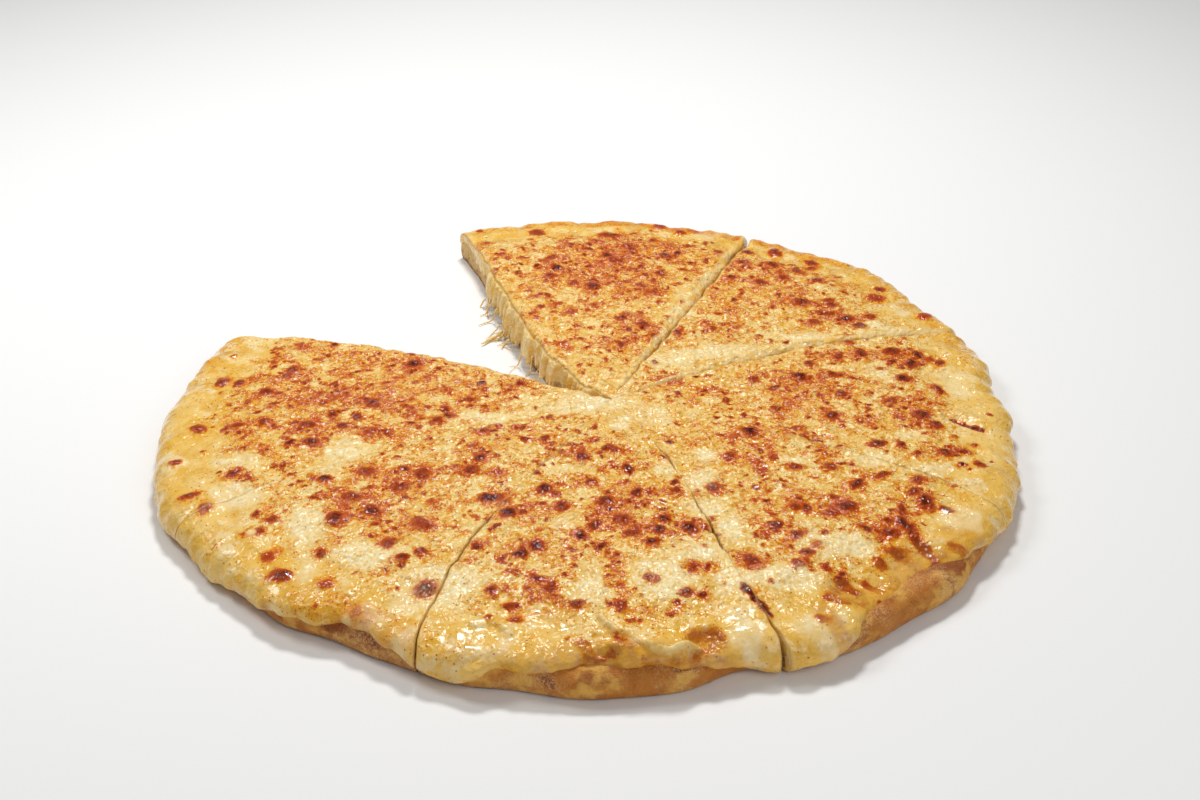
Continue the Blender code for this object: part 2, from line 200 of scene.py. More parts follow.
# Baked places with a line, a half width and a darkness: browned creases and collapsed bubbles, and one
# dark slit of painted shade.
SCORCHES = (
    (((0.063, -0.150), (0.067, -0.158), (0.071, -0.167)), 0.0018, 0.95),
    (((0.042, -0.178), (0.049, -0.177)), 0.0044, 0.50),
    (((0.048, -0.180), (0.043, -0.184), (0.041, -0.188)), 0.0024, 0.62),
    (((0.022, -0.1885), (0.030, -0.1895), (0.038, -0.1885)), 0.0016, 0.60),
    # painted shade: the dark slit in the dip under the front fold
    (((0.006, -0.187), (0.011, -0.1885)), 0.0009, 0.75),
    (((-0.001, -0.182), (0.001, -0.186)), 0.0024, 0.60),
    (((0.102, -0.143), (0.106, -0.148)), 0.0034, 0.78),
    (((0.112, -0.143), (0.117, -0.146)), 0.0028, 0.50),
    (((0.096, -0.154), (0.102, -0.156)), 0.0030, 0.60),
    (((0.117, -0.153), (0.119, -0.158)), 0.0018, 0.90),
    (((0.136, -0.114), (0.141, -0.123), (0.147, -0.132)), 0.0028, 0.80),
    (((0.151, -0.119), (0.161, -0.122)), 0.0026, 0.55),
    (((0.168, -0.022), (0.175, -0.028), (0.181, -0.033)), 0.0014, 0.80),
    (((0.097, -0.040), (0.105, -0.046)), 0.0008, 0.70),
    (((-0.040, -0.113), (-0.036, -0.110)), 0.0010, 0.80),
    (((0.033, -0.056), (0.035, -0.060)), 0.0010, 0.80),
    (((0.050, -0.111), (0.055, -0.116)), 0.0012, 0.75),
)
# Where the cheese is thin and baked golden over the dough.
GOLDEN = (
    (((-0.005, -0.186), (0.006, -0.190)), 0.0070, 0.75),
    (((0.007, -0.183), (0.018, -0.186), (0.040, -0.189)), 0.0040, 0.95),
    (((0.043, -0.187), (0.060, -0.185)), 0.0055, 0.85),
    (((0.042, -0.178), (0.049, -0.178)), 0.0052, 0.95),
    (((0.102, -0.150), (0.120, -0.158)), 0.0080, 0.95),
    (((0.092, -0.160), (0.100, -0.176)), 0.0045, 0.70),
    (((0.140, -0.133), (0.150, -0.140)), 0.0050, 0.80),
    (((0.150, -0.110), (0.168, -0.112)), 0.0040, 0.60),
    (((-0.020, -0.165), (-0.004, -0.166)), 0.0030, 0.50),
    (((-0.070, -0.184), (-0.040, -0.196)), 0.0050, 0.45),
)

# Toasted places on the dough's side: a line of directions and heights, a half width in radians
# and a strength.
DOUGH_TOASTS = (
    (((-97.3, 0.0088), (-96.7, 0.0076)), 0.012, 0.9),
    (((-90.0, 0.0110), (-93.0, 0.0100)), 0.014, 0.6),
    (((-82.0, 0.0120), (-79.0, 0.0122)), 0.014, 0.8),
    (((-120.0, 0.0080), (-124.0, 0.0070)), 0.040, 0.5),
    (((-58.0, 0.0070), (-60.0, 0.0060)), 0.020, 0.5),
    (((-40.0, 0.0115), (-43.0, 0.0110)), 0.016, 0.7),
)

# The most prominent browned blisters: x, y, half width and darkness.
BLISTERS = {
    "back": (
        (0.011, 0.171, 0.0062, 0.80), (-0.030, 0.176, 0.0050, 0.70), (0.040, 0.184, 0.0050, 0.70),
        (0.022, 0.153, 0.0056, 0.65), (0.010, 0.142, 0.0046, 1.00), (0.042, 0.142, 0.0046, 0.85),
        (0.015, 0.136, 0.0054, 0.70), (-0.018, 0.127, 0.0042, 0.95), (-0.021, 0.118, 0.0046, 0.85),
        (0.038, 0.119, 0.0042, 0.80), (0.012, 0.116, 0.0036, 0.60), (0.002, 0.105, 0.0056, 0.85),
        (-0.008, 0.109, 0.0038, 0.60), (0.033, 0.098, 0.0046, 0.50), (0.003, 0.084, 0.0034, 0.60),
        (-0.010, 0.077, 0.0038, 0.55), (0.028, 0.062, 0.0048, 0.85), (0.034, 0.048, 0.0052, 0.85),
        (0.028, 0.032, 0.0026, 0.70), (0.056, 0.158, 0.0040, 0.60), (0.052, 0.176, 0.0038, 0.60),
    ),
    "back_right": (
        (0.088, 0.149, 0.0044, 0.85), (0.103, 0.150, 0.0056, 0.80), (0.084, 0.134, 0.0050, 0.75),
        (0.100, 0.133, 0.0046, 0.80), (0.113, 0.126, 0.0048, 0.80), (0.122, 0.138, 0.0048, 0.85),
        (0.076, 0.116, 0.0040, 0.80), (0.092, 0.110, 0.0044, 0.80), (0.104, 0.116, 0.0040, 0.75),
        (0.122, 0.113, 0.0044, 0.75), (0.155, 0.106, 0.0040, 0.80), (0.151, 0.096, 0.0058, 0.60),
        (0.111, 0.088, 0.0056, 0.80), (0.126, 0.090, 0.0044, 0.70), (0.124, 0.075, 0.0044, 0.75),
        (0.133, 0.070, 0.0048, 0.90), (0.138, 0.063, 0.0042, 0.95), (0.115, 0.066, 0.0040, 0.80),
        (0.145, 0.073, 0.0042, 0.60), (0.173, 0.076, 0.0046, 0.60),
    ),
    "right": (
        (0.129, 0.047, 0.0054, 0.85), (0.123, 0.030, 0.0046, 0.80), (0.135, 0.034, 0.0050, 0.85),
        (0.150, 0.036, 0.0052, 0.80), (0.158, 0.025, 0.0056, 0.90), (0.163, 0.035, 0.0038, 0.90),
        (0.173, 0.029, 0.0034, 0.80), (0.108, 0.024, 0.0038, 0.80), (0.102, 0.012, 0.0054, 0.90),
        (0.080, 0.008, 0.0040, 0.70), (0.118, 0.014, 0.0040, 0.75), (0.152, 0.010, 0.0048, 0.95),
        (0.120, -0.004, 0.0048, 0.70), (0.167, 0.002, 0.0040, 0.85), (0.142, -0.010, 0.0046, 0.70),
        (0.113, -0.024, 0.0046, 0.85), (0.155, -0.022, 0.0054, 0.85), (0.160, -0.030, 0.0044, 0.75),
        (0.074, -0.037, 0.0050, 0.95), (0.131, -0.047, 0.0044, 0.95), (0.141, -0.048, 0.0036, 0.75),
        (0.160, -0.054, 0.0046, 0.90), (0.168, -0.052, 0.0040, 0.80), (0.166, -0.063, 0.0028, 1.00),
        (0.174, -0.062, 0.0036, 0.70), (0.040, 0.010, 0.0050, 0.50),
    ),
    "front_right": (
        (0.063, -0.057, 0.0046, 0.75), (0.107, -0.065, 0.0044, 0.75), (0.117, -0.079, 0.0048, 0.90),
        (0.129, -0.072, 0.0038, 0.75), (0.055, -0.082, 0.0046, 0.80), (0.144, -0.076, 0.0038, 0.80),
        (0.145, -0.091, 0.0056, 0.95), (0.141, -0.085, 0.0038, 0.80), (0.153, -0.095, 0.0034, 0.85),
        (0.134, -0.097, 0.0036, 0.80), (0.110, -0.096, 0.0060, 0.85), (0.103, -0.101, 0.0044, 0.70),
        (0.088, -0.097, 0.0038, 0.75), (0.133, -0.107, 0.0054, 0.90), (0.126, -0.113, 0.0054, 0.80),
        (0.116, -0.111, 0.0034, 0.80), (0.128, -0.124, 0.0054, 0.95), (0.119, -0.131, 0.0040, 0.75),
        (0.079, -0.109, 0.0040, 0.85), (0.087, -0.116, 0.0040, 0.85), (0.090, -0.128, 0.0044, 0.90),
        (0.067, -0.133, 0.0052, 0.80), (0.085, -0.135, 0.0034, 0.75), (0.097, -0.136, 0.0036, 0.65),
        (0.092, -0.166, 0.0034, 0.70),
    ),
    "front": (
        (-0.002, -0.058, 0.0040, 0.85), (0.012, -0.052, 0.0038, 0.80), (0.018, -0.067, 0.0040, 0.90),
        (0.002, -0.077, 0.0036, 0.85), (0.022, -0.086, 0.0038, 0.90), (0.038, -0.085, 0.0036, 0.75),
        (0.008, -0.093, 0.0050, 0.80), (-0.018, -0.083, 0.0052, 0.95), (-0.011, -0.096, 0.0046, 0.80),
        (-0.033, -0.102, 0.0048, 1.00), (0.004, -0.109, 0.0044, 0.85), (-0.002, -0.116, 0.0040, 1.00),
        (0.015, -0.105, 0.0050, 0.75), (0.019, -0.114, 0.0044, 0.75), (0.006, -0.123, 0.0032, 0.95),
        (0.033, -0.105, 0.0036, 0.85), (0.030, -0.113, 0.0038, 0.95), (0.028, -0.121, 0.0036, 0.90),
        (0.043, -0.111, 0.0050, 0.90), (-0.020, -0.124, 0.0044, 0.90), (-0.027, -0.129, 0.0040, 0.95),
        (-0.019, -0.145, 0.0040, 0.85), (-0.014, -0.151, 0.0048, 0.80), (-0.037, -0.152, 0.0038, 0.80),
        (0.043, -0.138, 0.0044, 0.65), (0.025, -0.144, 0.0032, 0.80), (0.040, -0.154, 0.0034, 0.90),
        (0.046, -0.154, 0.0030, 0.90), (-0.003, -0.161, 0.0036, 0.85), (-0.028, -0.161, 0.0034, 0.75),
        (-0.027, -0.168, 0.0032, 0.70), (0.014, -0.162, 0.0036, 0.75), (0.003, -0.188, 0.0034, 0.60),
        (-0.003, -0.195, 0.0028, 0.65), (0.014, -0.180, 0.0022, 0.60),
    ),
    "front_left": (
        (-0.047, -0.060, 0.0040, 0.95), (-0.041, -0.090, 0.0058, 1.00), (-0.051, -0.070, 0.0046, 0.80),
        (-0.028, -0.044, 0.0030, 0.80), (-0.019, -0.044, 0.0032, 0.80), (-0.090, -0.100, 0.0054, 0.90),
        (-0.105, -0.105, 0.0056, 0.85), (-0.068, -0.109, 0.0056, 0.70), (-0.081, -0.122, 0.0044, 0.75),
        (-0.074, -0.132, 0.0034, 0.85), (-0.063, -0.150, 0.0060, 0.90), (-0.122, -0.140, 0.0050, 0.85),
        (-0.130, -0.148, 0.0036, 0.80), (-0.103, -0.146, 0.0044, 0.50), (-0.106, -0.156, 0.0022, 0.85),
        (-0.108, -0.127, 0.0036, 0.75), (-0.129, -0.128, 0.0046, 0.60), (-0.139, -0.113, 0.0046, 0.55),
        (-0.132, -0.104, 0.0036, 0.75), (-0.080, -0.173, 0.0042, 0.65), (-0.089, -0.162, 0.0028, 0.60),
        (-0.072, -0.072, 0.0056, 0.70), (-0.100, -0.090, 0.0056, 0.75), (-0.080, -0.082, 0.0046, 0.80),
    ),
    "left": (
        (-0.085, 0.024, 0.0052, 1.00), (-0.143, 0.018, 0.0046, 0.75), (-0.106, -0.025, 0.0036, 0.90),
        (-0.112, -0.033, 0.0038, 0.90), (-0.128, -0.033, 0.0048, 0.75), (-0.124, -0.047, 0.0046, 0.90),
        (-0.069, -0.027, 0.0036, 0.80), (-0.081, -0.030, 0.0028, 0.85), (-0.098, -0.038, 0.0052, 0.55),
        (-0.114, -0.076, 0.0040, 0.95), (-0.155, -0.070, 0.0044, 0.85), (-0.170, -0.085, 0.0044, 0.80),
        (-0.096, -0.070, 0.0052, 0.70), (-0.101, -0.012, 0.0054, 0.80), (-0.178, -0.033, 0.0050, 0.75),
        (-0.160, -0.032, 0.0040, 0.75), (-0.148, -0.030, 0.0038, 0.70), (-0.176, 0.010, 0.0046, 0.75),
        (-0.168, 0.008, 0.0028, 0.85), (-0.152, -0.003, 0.0048, 0.80), (-0.118, -0.023, 0.0034, 0.85),
        (-0.051, 0.006, 0.0022, 0.95), (-0.033, 0.004, 0.0036, 0.80), (-0.056, -0.009, 0.0042, 0.80),
        (-0.066, -0.018, 0.0038, 0.80), (-0.162, -0.094, 0.0046, 0.70), (-0.153, -0.118, 0.0032, 0.65),
    ),
}
# Blisters scattered by chance: how many, and the range of their half widths.
SCATTERED_LARGE = (170, 0.0020, 0.0038)
SCATTERED_SMALL = (1500, 0.0009, 0.0021)

# Toasted parts of the cheese and, with a minus, pale parts, some of them painted sheen where the cheese
# shone white: x, y, half width along x and y, and strength.
ZONES = (
    (-0.095, -0.010, 0.060, 0.050, 0.17),
    (0.085, -0.145, 0.006, 0.007, -0.60), (0.157, -0.103, 0.005, 0.007, -0.70),
    (0.133, -0.137, 0.009, 0.012, -0.40), (0.090, -0.170, 0.009, 0.006, -0.50),
    (0.074, -0.144, 0.005, 0.007, -0.40), (-0.153, -0.084, 0.006, 0.007, -0.50),
    (-0.114, -0.108, 0.008, 0.007, -0.50), (-0.091, -0.129, 0.010, 0.005, -0.50),
    (-0.090, -0.165, 0.009, 0.004, -0.50), (-0.070, -0.175, 0.009, 0.004, -0.45),
    (-0.112, -0.139, 0.006, 0.006, -0.45), (-0.001, -0.154, 0.008, 0.007, -0.60),
    (0.030, -0.148, 0.012, 0.010, -0.40), (0.062, -0.174, 0.007, 0.005, -0.55),
    (0.058, -0.145, 0.007, 0.009, -0.50),
    (0.030, 0.115, 0.090, 0.050, 0.14),
    (-0.165, 0.010, 0.017, 0.005, 0.40), (-0.140, 0.014, 0.008, 0.005, 0.30),
    (-0.150, -0.008, 0.022, 0.007, 0.30), (-0.118, -0.006, 0.020, 0.009, 0.40),
    (-0.094, -0.013, 0.012, 0.005, 0.35), (-0.128, -0.034, 0.010, 0.010, 0.40),
    (-0.158, -0.030, 0.010, 0.007, 0.35), (-0.120, -0.046, 0.007, 0.006, 0.40),
    (-0.152, -0.050, 0.008, 0.008, 0.25), (-0.097, -0.038, 0.008, 0.005, 0.30),
    (-0.096, -0.071, 0.010, 0.005, 0.35), (-0.106, -0.088, 0.010, 0.007, 0.40),
    (-0.105, -0.103, 0.008, 0.007, 0.40), (-0.080, -0.080, 0.010, 0.010, 0.40),
    (-0.088, -0.098, 0.008, 0.007, 0.45), (-0.073, -0.108, 0.009, 0.006, 0.30),
    (-0.084, -0.120, 0.007, 0.005, 0.30), (-0.050, -0.068, 0.009, 0.007, 0.35),
    (-0.070, -0.070, 0.006, 0.006, 0.30), (-0.155, -0.072, 0.007, 0.006, 0.25),
    (-0.167, -0.090, 0.007, 0.007, 0.20), (-0.108, 0.028, 0.014, 0.006, 0.30),
    (-0.085, 0.026, 0.007, 0.006, 0.35), (-0.139, -0.100, 0.008, 0.006, 0.25),
    (-0.125, -0.138, 0.007, 0.006, 0.25), (-0.105, -0.142, 0.005, 0.008, 0.30),
    (-0.040, -0.036, 0.012, 0.004, 0.30), (-0.044, -0.058, 0.010, 0.006, 0.30),
    (-0.065, 0.000, 0.014, 0.006, 0.20), (-0.034, 0.003, 0.008, 0.006, 0.30),
    (-0.006, -0.054, 0.010, 0.007, 0.35), (0.014, -0.052, 0.006, 0.005, 0.30),
    (0.028, -0.055, 0.010, 0.003, 0.30), (0.014, -0.066, 0.014, 0.005, 0.35),
    (0.000, -0.076, 0.014, 0.004, 0.30), (0.012, -0.092, 0.009, 0.010, 0.40),
    (0.032, -0.086, 0.012, 0.005, 0.30), (-0.020, -0.097, 0.016, 0.005, 0.35),
    (-0.024, -0.104, 0.008, 0.005, 0.20), (0.008, -0.108, 0.011, 0.005, 0.40),
    (0.021, -0.113, 0.004, 0.008, 0.35), (0.042, -0.107, 0.008, 0.006, 0.30),
    (-0.024, -0.125, 0.009, 0.006, 0.30), (-0.009, -0.134, 0.008, 0.008, 0.30),
    (-0.016, -0.152, 0.006, 0.008, 0.30), (0.014, -0.145, 0.006, 0.020, 0.45),
    (0.028, -0.130, 0.008, 0.008, 0.15), (0.048, -0.138, 0.012, 0.004, 0.35),
    (0.068, -0.133, 0.006, 0.006, 0.35), (0.080, -0.128, 0.008, 0.004, 0.25),
    (0.035, 0.006, 0.014, 0.004, 0.35), (0.028, -0.004, 0.006, 0.005, 0.25),
    (0.060, 0.000, 0.008, 0.005, 0.25), (0.100, 0.006, 0.014, 0.012, 0.45),
    (0.094, -0.014, 0.012, 0.010, 0.40), (0.118, 0.000, 0.012, 0.012, 0.30),
    (0.076, -0.040, 0.012, 0.008, 0.45), (0.078, -0.056, 0.010, 0.010, 0.35),
    (0.066, -0.060, 0.007, 0.006, 0.25), (0.106, -0.050, 0.010, 0.004, 0.35),
    (0.110, -0.022, 0.008, 0.006, 0.30), (0.127, -0.028, 0.009, 0.005, 0.30),
    (0.150, -0.020, 0.008, 0.014, 0.40), (0.160, -0.008, 0.010, 0.008, 0.25),
    (0.152, 0.032, 0.014, 0.007, 0.40), (0.130, 0.032, 0.014, 0.006, 0.35),
    (0.104, -0.066, 0.008, 0.006, 0.30), (0.090, -0.088, 0.016, 0.010, 0.35),
    (0.106, -0.098, 0.010, 0.006, 0.35), (0.144, -0.090, 0.007, 0.008, 0.40),
    (0.130, -0.108, 0.010, 0.007, 0.35), (0.080, -0.110, 0.008, 0.007, 0.25),
    (0.170, -0.052, 0.012, 0.006, 0.30), (0.172, -0.028, 0.008, 0.008, 0.20),
    (0.010, 0.130, 0.030, 0.024, 0.25), (0.020, 0.160, 0.040, 0.014, 0.25),
    (-0.012, 0.112, 0.012, 0.014, 0.25), (0.020, 0.100, 0.016, 0.010, 0.20),
    (0.026, 0.055, 0.012, 0.016, 0.35), (0.010, 0.042, 0.012, 0.010, 0.20),
    (0.100, 0.130, 0.026, 0.018, 0.20), (0.105, 0.092, 0.020, 0.010, 0.25),
    (0.128, 0.075, 0.014, 0.008, 0.35), (0.075, 0.080, 0.012, 0.014, 0.20),
    (0.070, 0.058, 0.014, 0.006, 0.15), (0.150, 0.102, 0.010, 0.006, 0.20),
    (-0.109, -0.053, 0.008, 0.010, -0.60), (-0.112, -0.068, 0.010, 0.005, -0.35),
    (-0.156, -0.062, 0.012, 0.006, -0.45), (-0.155, -0.087, 0.009, 0.009, -0.60),
    (-0.146, -0.084, 0.008, 0.007, -0.35), (-0.117, -0.110, 0.007, 0.011, -0.60),
    (-0.098, -0.087, 0.004, 0.006, -0.50), (-0.090, -0.128, 0.013, 0.008, -0.60),
    (-0.062, -0.150, 0.012, 0.012, -0.50), (-0.088, -0.168, 0.012, 0.008, -0.40),
    (-0.069, -0.009, 0.006, 0.004, -0.60), (-0.050, -0.026, 0.014, 0.005, -0.50),
    (-0.020, -0.020, 0.020, 0.006, -0.25), (0.005, -0.012, 0.020, 0.010, -0.40),
    (0.016, -0.029, 0.006, 0.005, -0.50), (0.031, -0.024, 0.008, 0.009, -0.35),
    (0.053, -0.056, 0.007, 0.006, -0.50), (0.035, -0.068, 0.005, 0.005, -0.45),
    (0.050, -0.076, 0.008, 0.009, -0.45), (0.090, -0.059, 0.008, 0.004, -0.50),
    (-0.004, -0.069, 0.012, 0.003, -0.35), (-0.008, -0.108, 0.007, 0.006, -0.40),
    (0.050, -0.096, 0.009, 0.005, -0.50), (0.060, -0.112, 0.005, 0.010, -0.50),
    (0.032, -0.140, 0.013, 0.016, -0.40), (0.003, -0.146, 0.006, 0.010, -0.45),
    (0.048, -0.127, 0.007, 0.006, -0.45), (0.066, -0.144, 0.010, 0.006, -0.45),
    (-0.050, -0.145, 0.010, 0.010, -0.40), (0.082, -0.141, 0.010, 0.006, -0.40),
    (0.098, -0.122, 0.010, 0.010, -0.45), (0.112, -0.122, 0.008, 0.006, -0.40),
    (0.156, -0.100, 0.008, 0.008, -0.55), (0.126, -0.060, 0.010, 0.005, -0.35),
    (0.146, -0.040, 0.008, 0.005, -0.35), (0.142, 0.014, 0.007, 0.006, -0.35),
    (0.176, 0.004, 0.007, 0.014, -0.35), (0.150, -0.068, 0.012, 0.005, -0.40),
    (0.040, 0.028, 0.016, 0.008, -0.40), (0.070, 0.036, 0.020, 0.006, -0.45),
    (0.110, 0.050, 0.016, 0.006, -0.40), (0.150, 0.062, 0.014, 0.005, -0.50),
    (0.050, 0.090, 0.006, 0.020, -0.40), (0.044, 0.074, 0.008, 0.008, -0.35),
    (-0.012, 0.095, 0.006, 0.008, -0.30), (0.066, 0.172, 0.010, 0.006, -0.35),
)

CHEESE_STEP = 0.00075  # between the points of the cheese's surface
DOUGH_STEP = 0.0012
FALL_LENGTH = 0.022  # of skin beyond the lip's crest, which sets the count of rows there
CHEESE_EDGE_STEPS = (0.0, 0.0003, 0.0007, 0.0012, 0.0018, 0.0025)
DOUGH_EDGE_STEPS = (0.0, 0.0008)
CHEESE_WALL_POINTS = 7
DOUGH_WALL_POINTS = 11
UNDER_COLUMNS = 40


# Even fields over the plan of the pizza.


def smooth(low, high, value):
    """0 below low, 1 above high, with a soft way between."""
    share = np.clip((value - low) / (high - low), 0, 1)
    return share * share * (3 - 2 * share)


def noise(x, y, size, seed):
    """Smooth lumps about as large as size, between about -1 and 1."""
    lattice = np.random.default_rng(seed).uniform(0, 2 * math.pi, (128, 128))
    u = x / size + 1000.37
    v = y / size + 1000.71
    i = np.floor(u).astype(int)
    j = np.floor(v).astype(int)
    f = u - i
    g = v - j

    def corner(di, dj):
        angle = lattice[(i + di) % 128, (j + dj) % 128]
        return np.cos(angle) * (f - di) + np.sin(angle) * (g - dj)

    s = f * f * f * (f * (6 * f - 15) + 10)
    t = g * g * g * (g * (6 * g - 15) + 10)
    near = corner(0, 0) * (1 - s) + corner(1, 0) * s
    far = corner(0, 1) * (1 - s) + corner(1, 1) * s
    return 1.5 * (near * (1 - t) + far * t)


def bump(direction, features):
    total = np.zeros_like(direction)
    for middle, half_width, height in features:
        turn = np.angle(np.exp(1j * (direction - math.radians(middle))))
        total = total + height * np.exp(-((turn / math.radians(half_width)) ** 2))
    return total


def ripple(direction, waves):
    return sum(height * np.cos(count * direction + phase) for count, phase, height in waves)


def line_distance(x, y, line):
    """Distance from points of the plan to a line through several places."""
    nearest = np.full(np.shape(x), 1.0)
    for (ax, ay), (bx, by) in zip(line, line[1:]):
        dx, dy = bx - ax, by - ay
        share = np.clip(((x - ax) * dx + (y - ay) * dy) / (dx * dx + dy * dy), 0, 1)
        nearest = np.minimum(nearest, np.hypot(x - ax - share * dx, y - ay - share * dy))
    return nearest


def stray(start, x, y, waves):
    """A coordinate moved about by noise, each wave with its reach, size and seed."""
    for reach, size, seed in waves:
        start = start + reach * noise(x, y, size, seed)
    return start


def near_crossing(x, y, radius):
    return np.exp(-((x - CUT_CENTRE[0]) ** 2 + (y - CUT_CENTRE[1]) ** 2) / radius**2)


def from_crossing(points):
    """Distance and direction of points from the crossing of the cuts."""
    dx, dy = points[..., 0] - CUT_CENTRE[0], points[..., 1] - CUT_CENTRE[1]
    return np.hypot(dx, dy), np.arctan2(dy, dx)


def outline(direction):
    """Distance from the pizza's middle to the dough's rim."""
    return PIZZA_RADIUS + bump(direction, BULGES) + ripple(direction, RIM_RIPPLES)


def rim(direction):
    """Distance from the crossing of the cuts to the rim."""
    distance = np.full_like(direction, PIZZA_RADIUS)
    for _ in range(6):
        x = CUT_CENTRE[0] + distance * np.cos(direction)
        y = CUT_CENTRE[1] + distance * np.sin(direction)
        distance = distance + outline(np.arctan2(y, x)) - np.hypot(x, y)
    return distance


def cut_lane(cut):
    """A strip of the noise of its own for each cut."""
    return 0.1 * (1 + list(CUTS).index(cut))


def cut_direction(cut, distance):
    bend = np.polyfit(CUT_STATIONS, CUTS[cut][0], 2)
    even = np.radians(np.polyval(bend, np.maximum(distance, 0.5 * CUT_STATIONS[0])))
    stray = WANDER * noise(distance, cut_lane(cut), 0.017, 61)
    stray = stray + 0.4 * WANDER * noise(distance, cut_lane(cut), 0.006, 62)
    return even + stray * np.clip(distance / 0.02, 0, 1) / distance


def openness(cut, distance):
    stations, shares = zip(*OPENING[cut])
    return np.interp(distance, stations, shares)


def cut_half_width(cut, distance):
    _, at_point, at_rim, _, _ = CUTS[cut]
    even = at_point + (at_rim - at_point) * np.clip(distance / PIZZA_RADIUS, 0, 1)
    uneven = smooth(-0.6, 0.3, noise(distance, cut_lane(cut), 0.021, 63))
    gap = 0.5 * even * openness(cut, distance) * (0.4 + 0.6 * uneven)
    return gap - MELTED_OVER * (1 - smooth(0.0, 0.25, openness(cut, distance)))


def cheese_end(direction):
    """How far past the lip's crest the cheese runs, measured along the dough's skin."""
    even = CHEESE_REACH + ripple(direction, EDGE_RIPPLES)
    round_ = direction * PIZZA_RADIUS
    even = even + 0.0016 * noise(round_, 0.0, 0.012, 64) + 0.0008 * noise(round_, 0.0, 0.005, 65)
    return even - bump(direction, BARE_LIPS) + bump(direction, DRIPS)


def bareness(direction):
    """1 where the dough's lip lies bare, 0 where cheese covers it."""
    return np.clip(bump(direction, BARE_LIPS) / 0.010, 0, 1)


def cheese_end_round(direction):
    """The length over which the cheese thins to its end: longer where it sank into the lip."""
    return CHEESE_END_ROUND + 0.012 * bareness(direction) * (1 - steepness(direction))


def steepness(direction):
    """1 where the cheese on a bare lip ends in a steep face instead of thinning out."""
    return np.clip(bump(direction, STEEP_ENDS), 0, 1)


def dough_skin(along):
    """Depth in from the rim, height, and the way a layer builds up, along the dough's skin."""
    turn = np.clip(math.pi / 2 - along / LIP_DEPTH, -math.pi / 2, math.pi / 2)
    depth_reach = np.where(turn > 0, LIP_DEPTH, FOOT_INSET)
    height_reach = np.where(turn > 0, LIP_HEIGHT - WIDEST_HEIGHT, WIDEST_HEIGHT)
    depth = depth_reach * (1 - np.cos(turn)) + np.maximum(-along, 0)
    flat = DOUGH_HEIGHT + (LIP_HEIGHT - DOUGH_HEIGHT) * np.exp(-((along / LIP_WIDTH) ** 2))
    height = np.where(along < 0, flat, WIDEST_HEIGHT + height_reach * np.sin(turn))
    above = np.maximum(turn, 0)
    return depth, height, np.cos(above), np.sin(above)


def skin_wrinkle(direction, along, height):
    """The unevenness of the dough's lip and side, which the cheese on them follows."""
    round_ = direction * PIZZA_RADIUS
    lumpy = 0.0006 * noise(round_, height * 1.5, 0.013, 51)
    lumpy = lumpy + 0.0003 * noise(round_, height * 2.2, 0.0045, 52)
    return lumpy * smooth(-0.002, 0.004, along) * smooth(0.0, 0.004, height)


def from_rim(x, y):
    return outline(np.arctan2(y, x)) - np.hypot(x, y)


def shreds(x, y, seed):
    """Long lumps left by melted shreds, lying in two directions."""
    first = noise(x / 1.9 + y / 9, y, 0.0034, seed)
    second = noise((x + 0.8 * y) / 2.2, 0.8 * x - y, 0.0036, seed + 1)
    share = smooth(-0.35, 0.35, noise(x, y, 0.036, seed + 2))
    return first * (1 - share) + second * share


def swell(x, y):
    """The cheese's low waves: broad swells, folds of melt and small lumps."""
    inside = smooth(0.010, 0.034, from_rim(x, y))
    total = 0.0004 * np.sin(x / 0.013 + 2 * np.sin(y / 0.031)) * np.sin(y / 0.016 + x / 0.05)
    for cx, cy, radius, height in SWELLS:
        total = total + height * np.exp(-((x - cx) ** 2 + (y - cy) ** 2) / radius**2)
    for line, half_width, height in FOLDS:
        total = total + height * np.exp(-((line_distance(x, y, line) / half_width) ** 2))
    total = total + 0.00060 * noise(x, y, 0.0085, 11)
    fine = 0.00052 * shreds(x, y, 12) + 0.00034 * noise(x, y, 0.0024, 15)
    return total + fine * (0.35 + 0.65 * inside)


# Browning: listed blisters, and more scattered over the toasted parts, rarer at the rim.


def zone_strength(x, y):
    """Above 0 in the toasted parts and below 0 in the pale ones, which are partly painted sheen."""
    zone = np.zeros_like(x)
    zx = stray(x, x, y, ((0.0030, 0.0110, 45), (0.0018, 0.0045, 46)))
    zy = stray(y, x, y, ((0.0030, 0.0110, 47), (0.0018, 0.0045, 48)))
    for cx, cy, half_x, half_y, strength in ZONES:
        zone = zone + strength * np.exp(-(((zx - cx) / half_x) ** 2 + ((zy - cy) / half_y) ** 2) ** 1.3)
    return zone


def scatter(rng, count, low, high):
    """Blisters as rows of x, y, half width and darkness."""
    found = []
    while len(found) < count:
        x, y = rng.uniform(-0.2, 0.2, (2, 4000))
        inside = smooth(0.012, 0.034, from_rim(x, y))
        cluster = np.clip(0.22 + 1.8 * zone_strength(x, y) + 0.4 * noise(x, y, 0.012, 21), 0.03, 1)
        chance = (0.05 + 0.95 * inside) * cluster * (1 - 0.85 * near_crossing(x, y, 0.016))
        keep = (from_rim(x, y) > 0.004) & (rng.uniform(size=x.size) < chance)
        half_width = low + (high - low) * rng.uniform(size=x.size) ** 1.5
        dark = rng.uniform(0.35, 0.9, x.size)
        found += np.stack([x, y, half_width, dark], axis=1)[keep].tolist()
    return found[:count]


def all_blisters():
    rng = np.random.default_rng(7)
    chosen = [spot for group in BLISTERS.values() for spot in group]
    large = scatter(rng, *SCATTERED_LARGE)
    small = scatter(rng, *SCATTERED_SMALL)
    rows = np.array(chosen + large + small)
    stretch = rng.uniform(0.78, 1.28, len(rows))
    turn = rng.uniform(0, math.pi, len(rows))
    lift = rows[:, 2] * rng.uniform(0.08, 0.20, len(rows))
    return np.column_stack([rows, stretch, turn, lift]).tolist()


